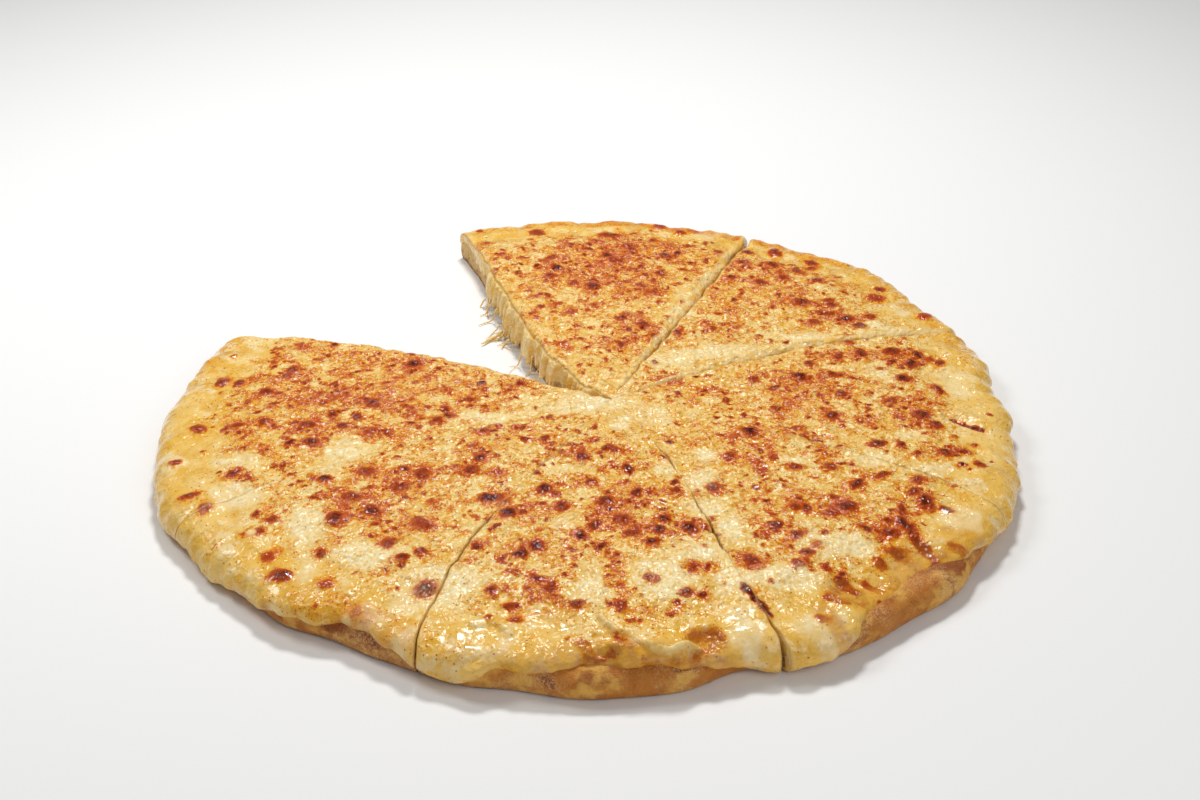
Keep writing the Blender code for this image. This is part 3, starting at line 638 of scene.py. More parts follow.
def browning(x, y, spots):
    """Browned haze, dark centres and rise of the blisters, pale parts that are partly painted sheen, and
    the paler outer band.
    """
    wx = stray(x, x, y, ((0.0013, 0.0050, 31), (0.0004, 0.0019, 33)))
    wy = stray(y, x, y, ((0.0013, 0.0050, 32), (0.0004, 0.0019, 34)))
    char = np.zeros_like(x)
    halo = np.zeros_like(x)
    rise = np.zeros_like(x)
    low_x, high_x, low_y, high_y = x.min(), x.max(), y.min(), y.max()
    for cx, cy, half_width, dark, stretch, turn, lift in spots:
        if not (low_x - 0.01 < cx < high_x + 0.01 and low_y - 0.01 < cy < high_y + 0.01):
            continue
        near = np.nonzero((np.abs(x - cx) < 2.8 * half_width) & (np.abs(y - cy) < 2.8 * half_width))
        if not near[0].size:
            continue
        dx, dy = wx[near] - cx, wy[near] - cy
        along = (dx * math.cos(turn) + dy * math.sin(turn)) / stretch
        across = (dy * math.cos(turn) - dx * math.sin(turn)) * stretch
        away = np.hypot(along, across) / half_width
        char[near] = np.maximum(char[near], dark * (1 - smooth(0.20, 1.15, away)))
        halo[near] = np.maximum(halo[near], 1 - smooth(0.75, 1.70, away))
        rise[near] = np.maximum(rise[near], lift * (1 - smooth(0.25, 1.15, away)))
    for line, half_width, dark in SCORCHES:
        away = line_distance(wx, wy, line) / half_width
        char = np.maximum(char, dark * (1 - smooth(0.55, 1.15, away)))
        halo = np.maximum(halo, 1 - smooth(0.8, 1.7, away))
    inside = smooth(0.006, 0.036, from_rim(x, y) + 0.012 * noise(x, y, 0.03, 41))
    zone = zone_strength(x, y)
    haze = 0.32 + 1.35 * zone + 0.22 * noise(x, y, 0.022, 42) + 0.46 * noise(x, y, 0.0080, 43)
    haze = haze + 0.26 * shreds(x, y, 12) + 0.22 * noise(x, y, 0.0026, 44)
    calm = 1 - 0.8 * near_crossing(x, y, 0.018)
    toast = np.clip(haze, 0, 1) * (0.06 + 0.94 * inside) * calm
    toast = np.clip(toast + 0.58 * halo * (0.85 + 0.15 * inside), 0, 1)
    # partly painted sheen: the pale patches also stand where the cheese shone white
    milk = smooth(0.05, 0.45, -zone) * (1 - 0.7 * halo)
    outer = 1 - smooth(0.012, 0.036, from_rim(x, y) + 0.010 * noise(x, y, 0.02, 49))
    return toast, char, rise, milk, outer


# Slices.


def slice_sides(cuts, distance):
    """Directions of a slice's two sides at a distance from the crossing."""
    start = cut_direction(cuts[0], distance) + cut_half_width(cuts[0], distance) / distance
    end = cut_direction(cuts[1], distance) - cut_half_width(cuts[1], distance) / distance
    return start, start + np.mod(end - start, 2 * math.pi)


def place(cuts, share, distance, height):
    start, end = slice_sides(cuts, distance)
    direction = start + (end - start) * share
    x = CUT_CENTRE[0] + distance * np.cos(direction)
    y = CUT_CENTRE[1] + distance * np.sin(direction)
    return np.stack([x, y, height], axis=-1)


def slice_rows(cuts, step, edge_steps, skin_end, end_round):
    """Share of the way across, direction, skin distance and ways to the two cuts, for every row
    and column: flat rows from the point, rows up to the lip's crest, rows from there out."""
    first, last = slice_sides(cuts, np.array([PIZZA_RADIUS]))
    nearest = float(np.min(rim(np.linspace(first[0], last[0], 9)))) - LIP_DEPTH - LIP_START
    flat = np.linspace(TIP_DISTANCE, nearest, int(nearest / step))
    rise_rows = int(LIP_START / step)
    fall_rows = int(FALL_LENGTH / step)
    row_distance = np.concatenate([flat, np.full(rise_rows + fall_rows, PIZZA_RADIUS)])
    first, last = slice_sides(cuts, row_distance)
    width = (last - first) * row_distance
    near = np.minimum(1, width / 0.030)[:, None] * np.array(edge_steps)[None, :]
    middle_count = int(width.max() / step)
    spread = np.linspace(0, 1, middle_count + 2)[None, 1:-1]
    inner = near[:, -1:]
    middle = inner + (width[:, None] - 2 * inner) * spread
    across = np.concatenate([near, middle, (width[:, None] - near)[:, ::-1]], axis=1)
    share = across / width[:, None]
    direction = first[:, None] + across / row_distance[:, None]
    along = LIP_DEPTH - rim(direction)
    along[: len(flat)] += flat[:, None]
    start = along[-1] + nearest
    end = skin_end(direction[-1])
    crest = np.minimum(0, end - end_round(direction[-1]))
    rise = np.linspace(0, 1, rise_rows + 1)[1:, None]
    along[len(flat) : len(flat) + rise_rows] = start + (crest - start) * rise
    fall = np.sin(np.linspace(0, math.pi / 2, fall_rows + 1)[1:, None])
    along[-fall_rows:] = crest + (end - crest) * fall
    return share, direction, along, across, width[:, None] - across


def smooth_mesh(name, bm):
    bmesh.ops.recalc_face_normals(bm, faces=bm.faces)
    mesh = bpy.data.meshes.new(name)
    bm.to_mesh(mesh)
    bm.free()
    mesh.shade_smooth()
    return mesh


def slice_rings(top, under, walls):
    """One ring for each row: over the top, down the last wall, back below and up the first."""
    coarse = np.linspace(top.shape[1] - 1, 0, UNDER_COLUMNS).astype(int)
    return np.concatenate([top, walls[1], under[:, coarse], walls[0][:, ::-1]], axis=1)


def lofted(name, rings, values):
    """A closed solid from rings of points, one ring for each row, with named point values."""
    rows, around = rings.shape[:2]
    wrapped = np.concatenate([rings, rings[:, :1]], axis=1).reshape(-1, 3)
    bm = bmesh.new()
    bmesh.ops.create_grid(bm, x_segments=around, y_segments=rows - 1, size=1)
    layers = [bm.verts.layers.float.new(key) for key in values]
    columns = [np.concatenate([v, v[:, :1]], axis=1).ravel().tolist() for v in values.values()]
    for vertex, spot in zip(bm.verts, wrapped.tolist()):
        vertex.co = spot
    for layer, column in zip(layers, columns):
        for vertex, value in zip(bm.verts, column):
            vertex[layer] = value
    bmesh.ops.remove_doubles(bm, verts=bm.verts, dist=1e-5)
    bmesh.ops.holes_fill(bm, edges=[edge for edge in bm.edges if edge.is_boundary])
    return smooth_mesh(name, bm)


def piece(name, mesh, material, slot, *nodes):
    """Puts a finished mesh in the scene in place of its nodes."""
    made = in_scene(name, mesh)
    mesh.materials.append(material)
    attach(made, "root")
    if nodes:
        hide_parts(*nodes)


def edge_fall(to_cut, rounding):
    """How far the surface has rounded down beside a cut: 0 inside, 1 at the cut."""
    near = np.clip(1 - to_cut / rounding, 0, 1)
    return 1 - np.sqrt(1 - 0.98 * near**2)


def side_rounding(cut, side, distance):
    """How far in from a cut the cheese is rounded; side is 0 clockwise and 1 anticlockwise."""
    uneven = 1 + 0.40 * noise(distance, cut_lane(cut), 0.015, 66 + side)
    healed = 0.14 + 0.86 * openness(cut, distance)
    return CUTS[cut][3 + side] * uneven * healed * np.clip(distance / 0.02, 0.2, 1)


def torn_reach(cut, distance, dough_top):
    """How far a torn edge stands out into the gap, and how low it hangs, along its cut."""
    rng = np.random.default_rng(80 + list(CUTS).index(cut))
    last = TORN[cut][-1][0] + 0.006
    shreds_here = [
        (rng.uniform(0.014, last), rng.uniform(0.0009, 0.0026), rng.uniform(0.0012, 0.0048),
         rng.uniform(0.002, 0.010), 0.0)
        for _ in range(SMALL_SHREDS)
    ]
    lane = cut_lane(cut)
    ragged = noise(distance, lane, 0.0045, 71) + 0.6 * noise(distance, lane, 0.002, 72)
    out = 0.0010 + 0.0006 * ragged
    lowest = dough_top - 0.0012 - 0.0008 * ragged
    edge = lowest.copy()
    for middle, half_width, reach, low, _ in list(TORN[cut]) + shreds_here:
        share = np.exp(-((np.abs(distance - middle) / half_width) ** 2.4))
        out = np.maximum(out, reach * share)
        lowest = np.minimum(lowest, edge + (low - edge) * share**0.8)
    return out, lowest


def torn_wall(cut, top_edge, under_edge):
    """The torn side of the cheese: out and down over the gap, and back up to the dough's top."""
    distance, bearing = from_crossing(top_edge)
    out, lowest = torn_reach(cut, distance, under_edge[..., 2])
    fade = smooth(0.004, 0.012, distance) * (1 - smooth(0.178, 0.186, distance))
    out = out * fade
    lowest = under_edge[..., 2] + (lowest - under_edge[..., 2]) * fade
    level = np.zeros_like(bearing)
    away = GAP_SIDE[cut] * np.stack([-np.sin(bearing), np.cos(bearing), level], axis=-1)
    steps = []
    for turn in np.linspace(0, math.pi / 2, 13)[1:]:
        drop = (top_edge[..., 2] - lowest) * (1 - math.cos(turn)) ** 0.85
        spot = top_edge + away * (out * math.sin(turn) ** 0.7)[..., None]
        spot[..., 2] -= drop
        steps.append(spot)
    tip = steps[-1]
    for share in (0.15, 0.4, 0.7):
        inner = tip + (under_edge - tip) * share
        inner[..., :2] -= away[..., :2] * (0.35 * out * math.sin(math.pi * share))[..., None]
        steps.append(inner)
    return np.concatenate(steps, axis=1)


def plain_wall(top_edge, under_edge, count):
    steps = np.linspace(0, 1, count + 2)[1:-1][None, :, None]
    return top_edge + (under_edge - top_edge) * steps


def pressed(height, over):
    """Lumps that would stand too high are pressed down softly."""
    excess = height + over - SOFT_TOP
    return np.where(excess > 0, over - excess + TOP_ROOM * np.tanh(excess / TOP_ROOM), over)


def cut_marks(cuts, reach, to_first, to_last):
    """Beside both cuts: how far the cheese sinks, how pale it is, and a line of painted shade along the
    cut.
    """
    falls, pales, cut_shade_lines = [], [], []
    for cut, side, to_cut in ((cuts[0], 1, to_first), (cuts[1], 0, to_last)):
        rounding = side_rounding(cut, side, reach)
        sinking, paleness = (0.95, 0.95) if CUTS[cut][3 + side] > BROAD_ROUNDING else (0.62, 0.30)
        falls.append(edge_fall(to_cut, rounding) * rounding * sinking)
        pales.append(paleness * (1 - smooth(0.45, 1.05, to_cut / rounding)))
        # painted shade: a dark line in the cut's groove, strongest where the cut is open, and a faint one
        # where it melted shut
        cut_shade_lines.append(openness(cut, reach) * np.exp(-((to_cut / 0.0006) ** 2)))
    nearest = np.minimum(to_first, to_last)
    cut_shade_lines.append(0.16 * np.exp(-((nearest / 0.0005) ** 2)) * smooth(0.01, 0.03, reach))
    return np.maximum(*falls), np.maximum(*pales), np.maximum.reduce(cut_shade_lines)


def white_and_glint_marks(x, y):
    """1 on the folds that stayed white, partly painted highlight, and on the lumps of painted highlight.
    """
    white = np.zeros_like(x)
    for line, half_width, _ in FOLDS[:WHITE_GLINT_FOLDS]:
        white = np.maximum(white, 1 - smooth(0.3, 1.1, line_distance(x, y, line) / half_width))
    for cx, cy, half_width in WHITE_GLINT_LUMPS:
        white = np.maximum(white, 1 - smooth(0.6, 1.2, np.hypot(x - cx, y - cy) / half_width))
    return white


def golden_marks(x, y, left, bare, steep):
    """Where the cheese is baked golden: near its end, which is left away, and at chosen places."""
    reach = 0.019 - 0.011 * steep
    to_end = left + 0.26 * reach * noise(x, y, 0.008, 50)
    gold = 0.95 * bare * (1 - smooth(0.16 * reach, reach, to_end))
    gold = np.maximum(gold, 0.65 * (1 - smooth(0.0, 0.0045, left + 0.003 * noise(x, y, 0.006, 56))))
    for line, half_width, strength in GOLDEN:
        away = line_distance(x, y, line) / half_width
        gold = np.maximum(gold, strength * (1 - smooth(0.4, 1.3, away)))
    return gold


def cheese_slice(name, cuts, spots):
    """The melted layer on one slice, with its blisters, cut sides and drips."""
    share, direction, along, to_first, to_last = slice_rows(
        cuts, CHEESE_STEP, CHEESE_EDGE_STEPS, cheese_end, cheese_end_round
    )
    depth, height, outward, upward = dough_skin(along)
    reach = rim(direction) - depth
    plan = place(cuts, share, reach, height)
    x, y = plan[..., 0], plan[..., 1]

    # The layer's thickness, which runs out at its end.
    inside = np.clip(-along / THINNING_LENGTH, 0, 1)
    thickness = RIM_CHEESE_DEPTH + (CHEESE_DEPTH - RIM_CHEESE_DEPTH) * inside
    sag = noise(direction * PIZZA_RADIUS, 0.4 * along, 0.0085, 16)
    thickness = thickness * (1 + 0.28 * sag * smooth(-0.012, 0.002, along))
    left = cheese_end(direction) - along
    ending = np.clip(1 - left / cheese_end_round(direction), 0, 1)
    bare = bareness(direction)
    steep = steepness(direction)
    sunk_in = bare * (1 - steep)
    ending_shape = (1 - sunk_in) * np.sqrt(1 - ending**2) + sunk_in * (1 - ending) ** 1.15
    thickness = thickness * ending_shape * (1 - 0.40 * bare * (1 - steep) * (1 - inside))

    # The browned skin, plainer down the side and baked brown round parts of the rim.
    toast, char, rise, milk, outer = browning(x, y, spots)
    on_side = smooth(0.001, 0.007, along)
    toast = toast * (1 - 0.65 * on_side)
    char = char * (1 - on_side)
    on_rim = smooth(-0.007, -0.001, along)
    baked_rim = bump(direction, BROWN_RIMS) * on_rim * (1 - smooth(0.006, 0.010, along))
    toast = np.maximum(toast, np.clip(baked_rim, 0, 1) * (0.75 + 0.5 * noise(x, y, 0.006, 55)))

    fall, pale, seam = cut_marks(cuts, reach, to_first, to_last)
    wrinkle = skin_wrinkle(direction, along, height)
    over = thickness + (swell(x, y) + rise) * (1 - ending) ** (1 - 0.6 * steep) - fall * (1 - ending)
    over = np.maximum(pressed(height, over), 0.0003) - 0.0010 * smooth(0.75, 1.0, ending) + wrinkle
    top = place(cuts, share, reach + over * outward, height + over * upward)
    sunk = wrinkle - 0.0003 - 0.0006 * smooth(-0.006, 0.0, along)
    under = place(cuts, share, reach + sunk * outward, height + sunk * upward)

    white = white_and_glint_marks(x, y)
    # painted highlight in part: the white folds and glints are laid in as pale cheese
    pale = np.maximum(pale, 0.9 * white)
    on_top = {
        "toast": toast * (1 - 0.75 * pale),
        "char": char * (1 - 0.8 * pale),
        "pale": pale,
        "gold": golden_marks(x, y, left, bare, steep) * (1 - white),
        "milk": milk,
        "outer": outer,
        "seam": seam,
    }
    walls = []
    for column, cut in ((0, cuts[0]), (-1, cuts[1])):
        top_edge, under_edge = top[:, column][:, None], under[:, column][:, None]
        if cut in TORN:
            walls.append(torn_wall(cut, top_edge, under_edge))
        else:
            walls.append(plain_wall(top_edge, under_edge, CHEESE_WALL_POINTS))
    rings = slice_rings(top, under, walls)
    values = {}
    for key, over_top in on_top.items():
        # The torn and cut sides, and the underside, are pale all over.
        values[key] = np.full(rings.shape[:2], 1.0 if key == "pale" else 0.0)
        values[key][:, : top.shape[1]] = over_top
    return lofted(name, rings, values)


def dough_slice(name, cuts):
    """The thick base of one slice: floury lip, browned side and foot, and crumb at the cuts."""
    foot = math.pi * LIP_DEPTH
    share, direction, along, _, _ = slice_rows(
        cuts, DOUGH_STEP, DOUGH_EDGE_STEPS, lambda way: np.full_like(way, foot),
        lambda way: np.full_like(way, 0.004)
    )
    depth, height, outward, upward = dough_skin(along)
    reach = rim(direction)
    round_ = direction * PIZZA_RADIUS
    wrinkle = skin_wrinkle(direction, along, height)
    top = place(cuts, share, reach - depth + wrinkle * outward, height + wrinkle * upward)
    foot_depth = np.maximum(depth, FOOT_INSET)
    under = place(cuts, share, reach - foot_depth, np.zeros_like(height))
    sides = []
    for column, side in ((0, 1), (-1, -1)):
        wall = plain_wall(top[:, column][:, None], under[:, column][:, None], DOUGH_WALL_POINTS)
        run, bearing = from_crossing(wall)
        lift = wall[..., 2]
        pores = 0.0006 * np.maximum(noise(run, 1.5 * lift, 0.0042, 53 + side) - 0.1, 0)
        pores = pores + 0.0004 * np.abs(noise(run, lift, 0.0019, 57 + side))
        pores = pores * smooth(0.0, 0.0015, lift)
        wall[..., 0] -= side * pores * np.sin(bearing)
        wall[..., 1] += side * pores * np.cos(bearing)
        sides.append(wall)
    rings = slice_rings(top, under, sides)
    columns = top.shape[1]
    walls = sides[0].shape[1]
    blank = np.zeros(rings.shape[:2])
    values = {"crumb": blank.copy(), "tan": blank.copy()}
    values["crumb"][:, columns : columns + walls] = 1
    values["crumb"][:, columns + walls + UNDER_COLUMNS :] = 1
    near_cheese = 1 - smooth(0.0005, 0.0060, np.abs(along - cheese_end(direction)))
    low = 1 - smooth(0.0, 0.0035, height)
    uneven = 0.5 + 0.5 * noise(round_, height, 0.012, 54)
    toasted = np.zeros_like(height)
    for line, half_width, strength in DOUGH_TOASTS:
        away = line_distance(direction, 8.0 * height, [(math.radians(a), 8.0 * z) for a, z in line])
        toasted = np.maximum(toasted, strength * (1 - smooth(0.5, 1.5, away / half_width)))
    values["tan"][:, :columns] = np.clip(0.75 * near_cheese * uneven + 0.6 * low + toasted, 0, 1)
    return lofted(name, rings, values)


# Strings of cheese that the tear left along the gap.


def strand(bm, path, radii):
    """A thin string of cheese through the path's points."""
    loops = []
    for index, (spot, radius) in enumerate(zip(path, radii)):
        ahead = path[min(index + 1, len(path) - 1)] - path[max(index - 1, 0)]
        turn = Vector((0, 0, 1)).rotation_difference(Vector(ahead)).to_matrix().to_4x4()
        made = bmesh.ops.create_circle(
            bm, cap_ends=index in (0, len(path) - 1), segments=6, radius=radius,
            matrix=Matrix.Translation(Vector(spot)) @ turn,
        )
        loops.append(list({edge for vertex in made["verts"] for edge in vertex.link_edges}))
    for first, second in zip(loops, loops[1:]):
        bmesh.ops.bridge_loops(bm, edges=first + second)


def torn_strings(name, cut):
    """The tails of the tongues, and finer strings that hang beside them or lie on the table."""
    rng = np.random.default_rng(90 + list(CUTS).index(cut))
    bm = bmesh.new()
    starts = [(row[0], row[4], 0.0010) for row in TORN[cut] if row[4] > 0]
    last = TORN[cut][-1][0]
    starts += [(rng.uniform(0.03, last), rng.uniform(0.001, 0.010), rng.uniform(0.0002, 0.0005))
               for _ in range(STRINGS[cut])]
    for middle, tail, thick in starts:
        run = np.array([middle])
        direction = cut_direction(cut, run)
        out, lowest = torn_reach(cut, run, np.array([DOUGH_HEIGHT]))
        ahead = np.array([math.cos(direction[0]), math.sin(direction[0])])
        away = GAP_SIDE[cut] * np.array([-ahead[1], ahead[0]])
        root = np.array(CUT_CENTRE) + ahead * middle + away * (out[0] * 0.8 + 0.0012)
        top = max(lowest[0] + 0.002, 0.004)
        swing = rng.uniform(-0.004, 0.004)
        curl = rng.uniform(0.4, 2.2)
        path = []
        steps = np.linspace(0, 1, STRING_POINTS)
        for step in steps:
            down = smooth(0.0, 0.45, np.array(step))
            out_now = tail * max(0.0, step - 0.25) / 0.75 + 0.0012 * math.sin(2 * curl * step)
            aside = swing * step**1.3 + 0.0016 * math.sin(3 * curl * step)
            plan = root + away * out_now + ahead * aside
            path.append(np.array([plan[0], plan[1], top + (thick + 0.0001 - top) * float(down)]))
        strand(bm, path, [thick * (1.25 - 0.8 * step) for step in steps])
    pale = bm.verts.layers.float.new("pale")
    for vertex in bm.verts:
        vertex[pale] = 1
    return smooth_mesh(name, bm)


# Materials.


def give(tree, socket, value):
    """Sets a socket to a number or a colour, or links another node's output to it."""
    if isinstance(value, bpy.types.NodeSocket):
        tree.links.new(value, socket)
    elif isinstance(value, tuple) and len(value) < len(socket.default_value):
        socket.default_value = (*value, 1)
    else:
        socket.default_value = value


def add(tree, kind, inputs, **settings):
    """A node with its settings and its inputs, each a number, a colour or another node's output."""
    node = tree.nodes.new(kind)
    for key, value in settings.items():
        setattr(node, key, value)
    for key, value in inputs.items():
        give(tree, node.inputs[key], value)
    return node


def math_node(tree, operation, *values, clamp=False):
    inputs = dict(enumerate(values))
    return add(tree, "ShaderNodeMath", inputs, operation=operation, use_clamp=clamp).outputs[0]


def soft_range(tree, value, low, high):
    """0 below low and 1 above high."""
    inputs = {"Value": value, "From Min": low, "From Max": high}
    return add(tree, "ShaderNodeMapRange", inputs, interpolation_type="SMOOTHSTEP").outputs["Result"]


def new_group(name, numbers, outputs):
    """An empty node group with a spot and named numbers as inputs, and number outputs."""
    group = bpy.data.node_groups.new(name, "ShaderNodeTree")
    group.interface.new_socket(name="Spot", in_out="INPUT", socket_type="NodeSocketVector")
    for way, labels in (("INPUT", numbers), ("OUTPUT", outputs)):
        for label in labels:
            group.interface.new_socket(name=label, in_out=way, socket_type="NodeSocketFloat")
    return group, group.nodes.new("NodeGroupInput").outputs, group.nodes.new("NodeGroupOutput").inputs


def lumps_group():
    """Soft lumps about as large as Size, raw and as a mask that is 0 below Low and 1 above High."""
    numbers = ("Size", "Detail", "Roughness", "Waviness", "Low", "High")
    group, given, put_out = new_group("soft_lumps", numbers, ("Lumps", "Mask"))
    made = add(group, "ShaderNodeTexNoise", {
        "Vector": given["Spot"],
        "Scale": math_node(group, "DIVIDE", 1.0, given["Size"]),
        "Detail": given["Detail"],
        "Roughness": given["Roughness"],
        "Distortion": given["Waviness"],
    }).outputs["Fac"]
    give(group, put_out["Lumps"], made)
    give(group, put_out["Mask"], soft_range(group, made, given["Low"], given["High"]))
    return group


def grains_group():
    """Ragged grains: the distance from each grain's middle, and a share of its own, 0 to 1."""
    group, given, put_out = new_group("ragged_grains", ("Size", "Wobble"), ("From Middle", "Own Share"))
    wave_scale = math_node(group, "DIVIDE", 0.7, given["Size"])
    wave = add(group, "ShaderNodeTexNoise", {"Vector": given["Spot"], "Scale": wave_scale, "Detail": 2.0})
    centred = add(group, "ShaderNodeVectorMath", {0: wave.outputs["Color"], 1: (0.5, 0.5, 0.5)},
                  operation="SUBTRACT")
    scaled = add(group, "ShaderNodeVectorMath", {0: centred.outputs[0], "Scale": given["Wobble"]},
                 operation="SCALE")
    moved = add(group, "ShaderNodeVectorMath", {0: given["Spot"], 1: scaled.outputs[0]})
    scale = math_node(group, "DIVIDE", 1.0, given["Size"])
    made = add(group, "ShaderNodeTexVoronoi", {"Vector": moved.outputs[0], "Scale": scale})
    own = add(group, "ShaderNodeSeparateColor", {"Color": made.outputs["Color"]})
    give(group, put_out["From Middle"], made.outputs["Distance"])
    give(group, put_out["Own Share"], own.outputs["Red"])
    return group


LUMPS = lumps_group()
GRAINS = grains_group()


class Paint:
    """A new material and short ways to add its nodes."""

    def __init__(self, name):
        self.material = bpy.data.materials.new(name)
        self.material.use_nodes = True
        self.tree = self.material.node_tree
        self.shader = self.tree.nodes["Principled BSDF"].inputs
        self.spot = self.tree.nodes.new("ShaderNodeTexCoord").outputs["Object"]

    def mark(self, name):
        """A value that the mesh carries at its points."""
        return add(self.tree, "ShaderNodeAttribute", {}, attribute_name=name).outputs["Fac"]

    def times(self, first, second):
        return math_node(self.tree, "MULTIPLY", first, second)

    def scaled(self, value, by, plus, clamp=False):
        return math_node(self.tree, "MULTIPLY_ADD", value, by, plus, clamp=clamp)

    def plus(self, first, second):
        return math_node(self.tree, "ADD", first, second)

    def minus(self, first, second):
        return math_node(self.tree, "SUBTRACT", first, second)

    def larger(self, first, second):
        return math_node(self.tree, "MAXIMUM", first, second)

    def ramp(self, value, low, high):
        return soft_range(self.tree, value, low, high)

    def lumps(self, size, low=0.4, high=0.6, detail=3.0, roughness=0.55, waviness=0.0):
        inputs = {"Spot": self.spot, "Size": size, "Detail": detail, "Roughness": roughness,
                  "Waviness": waviness, "Low": low, "High": high}
        return add(self.tree, "ShaderNodeGroup", inputs, node_tree=LUMPS).outputs

    def grains(self, size, wobble):
        inputs = {"Spot": self.spot, "Size": size, "Wobble": wobble}
        return add(self.tree, "ShaderNodeGroup", inputs, node_tree=GRAINS).outputs

    def mix(self, share, first, second):
        """The first colour where the share is 0, the second where it is 1."""
        inputs = {0: share, 6: first, 7: second}
        return add(self.tree, "ShaderNodeMix", inputs, data_type="RGBA").outputs[2]

    def layers(self, base, *coats):
        """The base colour under coats, each a share and a colour."""
        for share, colour in coats:
            base = self.mix(share, base, colour)
        return base

    def relief(self, height, distance):
        inputs = {"Strength": 1.0, "Distance": distance, "Height": height}
        return add(self.tree, "ShaderNodeBump", inputs).outputs["Normal"]

    def finish(self, values):
        """Gives the shader its values and returns the material."""
        for label, value in values.items():
            give(self.tree, self.shader[label], value)
        return self.material


CREAM = (0.93, 0.67, 0.25)
BUTTER = (0.87, 0.51, 0.085)
# white of curds, also used as painted highlight for glints and sheen
CURD_AND_GLINT_WHITE = (0.98, 0.85, 0.54)
OIL = (0.80, 0.43, 0.032)
GOLD = (0.82, 0.40, 0.030)
ORANGE = (0.74, 0.215, 0.006)
PAPRIKA = (0.58, 0.085, 0.001)
RED_BROWN = (0.40, 0.046, 0.0)
DARK_BROWN = (0.085, 0.006, 0.0)
# painted shade: the colour laid into the hollows between the cheese's lumps
HOLLOW_SHADE = (0.56, 0.28, 0.018)
HERB = (0.14, 0.065, 0.006)
# painted shade for the grooves of the cuts
SEAM_SHADE = (0.50, 0.25, 0.030)
TORN_CREAM = (0.95, 0.72, 0.34)
THIN_GOLD = (0.76, 0.37, 0.040)
THIN_BROWN = (0.50, 0.16, 0.012)


def cheese_colour(paint, middle, fine, speck):
    toast, char, pale, gold = (paint.mark(key) for key in ("toast", "char", "pale", "gold"))
    milk, outer, seam = (paint.mark(key) for key in ("milk", "outer", "seam"))
    grain = paint.grains(0.0017, 0.0018)
    dust = paint.grains(0.0010, 0.0008)
    herb = paint.grains(0.0034, 0.0006)
    clots = paint.times(paint.lumps(0.0130, 0.52, 0.60, 4.0)["Mask"], outer)
    oily = paint.times(paint.lumps(0.0105, 0.48, 0.66)["Mask"], paint.scaled(outer, 0.40, 0.40))
    # Every grain of the surface is browned a little more or less than the haze around it.
    ragged = paint.scaled(fine["Lumps"], 1.7, -0.85)
    haze = paint.plus(ragged, paint.scaled(grain["Own Share"], 0.80, -0.40))
    haze = paint.scaled(haze, paint.scaled(outer, -0.6, 1.0), toast)
    # painted shade: the hollows between the fine lumps are darkened
    hollow_shade = paint.times(paint.ramp(fine["Lumps"], 0.40, 0.28), paint.scaled(outer, -0.35, 0.75))
    # pale patches, partly painted sheen
    milky_and_sheen = paint.times(paint.ramp(fine["Lumps"], 0.44, 0.56), milk)
    milky_and_sheen = paint.times(milky_and_sheen, paint.scaled(outer, -0.35, 1.0))
    lasting = paint.scaled(middle["Mask"], -0.30, 0.55)
    milky_and_sheen = paint.larger(milky_and_sheen, paint.times(paint.times(milk, outer), lasting))
    # partly painted highlight: these white specks stand in part for curds and in part for glints of light
    # on the bumps
    curd_and_glint = paint.times(paint.ramp(speck["Lumps"], 0.58, 0.66), paint.scaled(char, -1.5, 0.80, clamp=True))
    curd_and_glint = paint.times(curd_and_glint, paint.scaled(outer, -0.7, 1.0))
    curd_and_glint = paint.larger(curd_and_glint, paint.times(milky_and_sheen, 0.85))
    dusted = paint.minus(paint.scaled(toast, 0.40, 0.04), dust["Own Share"])
    dusted = paint.times(paint.ramp(dusted, 0.0, 0.04), paint.ramp(dust["From Middle"], 0.52, 0.34))
    burnt = paint.plus(char, paint.times(ragged, 0.45))
    core = paint.plus(char, paint.times(ragged, 0.60))
    herbs = paint.times(
        paint.ramp(herb["From Middle"], 0.14, 0.07), paint.ramp(herb["Own Share"], 0.40, 0.45)
    )
    return paint.layers(
        CREAM,
        (paint.lumps(0.030, 0.38, 0.62, 2.0)["Mask"], BUTTER),
        (middle["Mask"], CREAM),
        (paint.times(outer, 0.50), BUTTER),
        (paint.times(clots, 0.42), CURD_AND_GLINT_WHITE),
        (oily, OIL),
        (paint.ramp(haze, 0.20, 0.46), GOLD),
        (paint.ramp(haze, 0.52, 0.84), ORANGE),
        (paint.ramp(haze, 0.90, 1.20), PAPRIKA),
        (hollow_shade, HOLLOW_SHADE),
        (paint.times(dusted, 0.75), RED_BROWN),
        (paint.ramp(burnt, 0.12, 0.30), PAPRIKA),
        (paint.ramp(burnt, 0.26, 0.56), RED_BROWN),
        (paint.ramp(core, 0.56, 1.00), DARK_BROWN),
        (curd_and_glint, CURD_AND_GLINT_WHITE),
        (paint.times(gold, 0.9), paint.mix(middle["Mask"], THIN_GOLD, THIN_BROWN)),
        (paint.times(paint.ramp(burnt, 0.45, 0.9), gold), RED_BROWN),
        (paint.times(pale, 0.88), paint.mix(middle["Mask"], TORN_CREAM, BUTTER)),
        (paint.times(herbs, 0.7), HERB),
        (paint.times(seam, 0.65), SEAM_SHADE),
    )


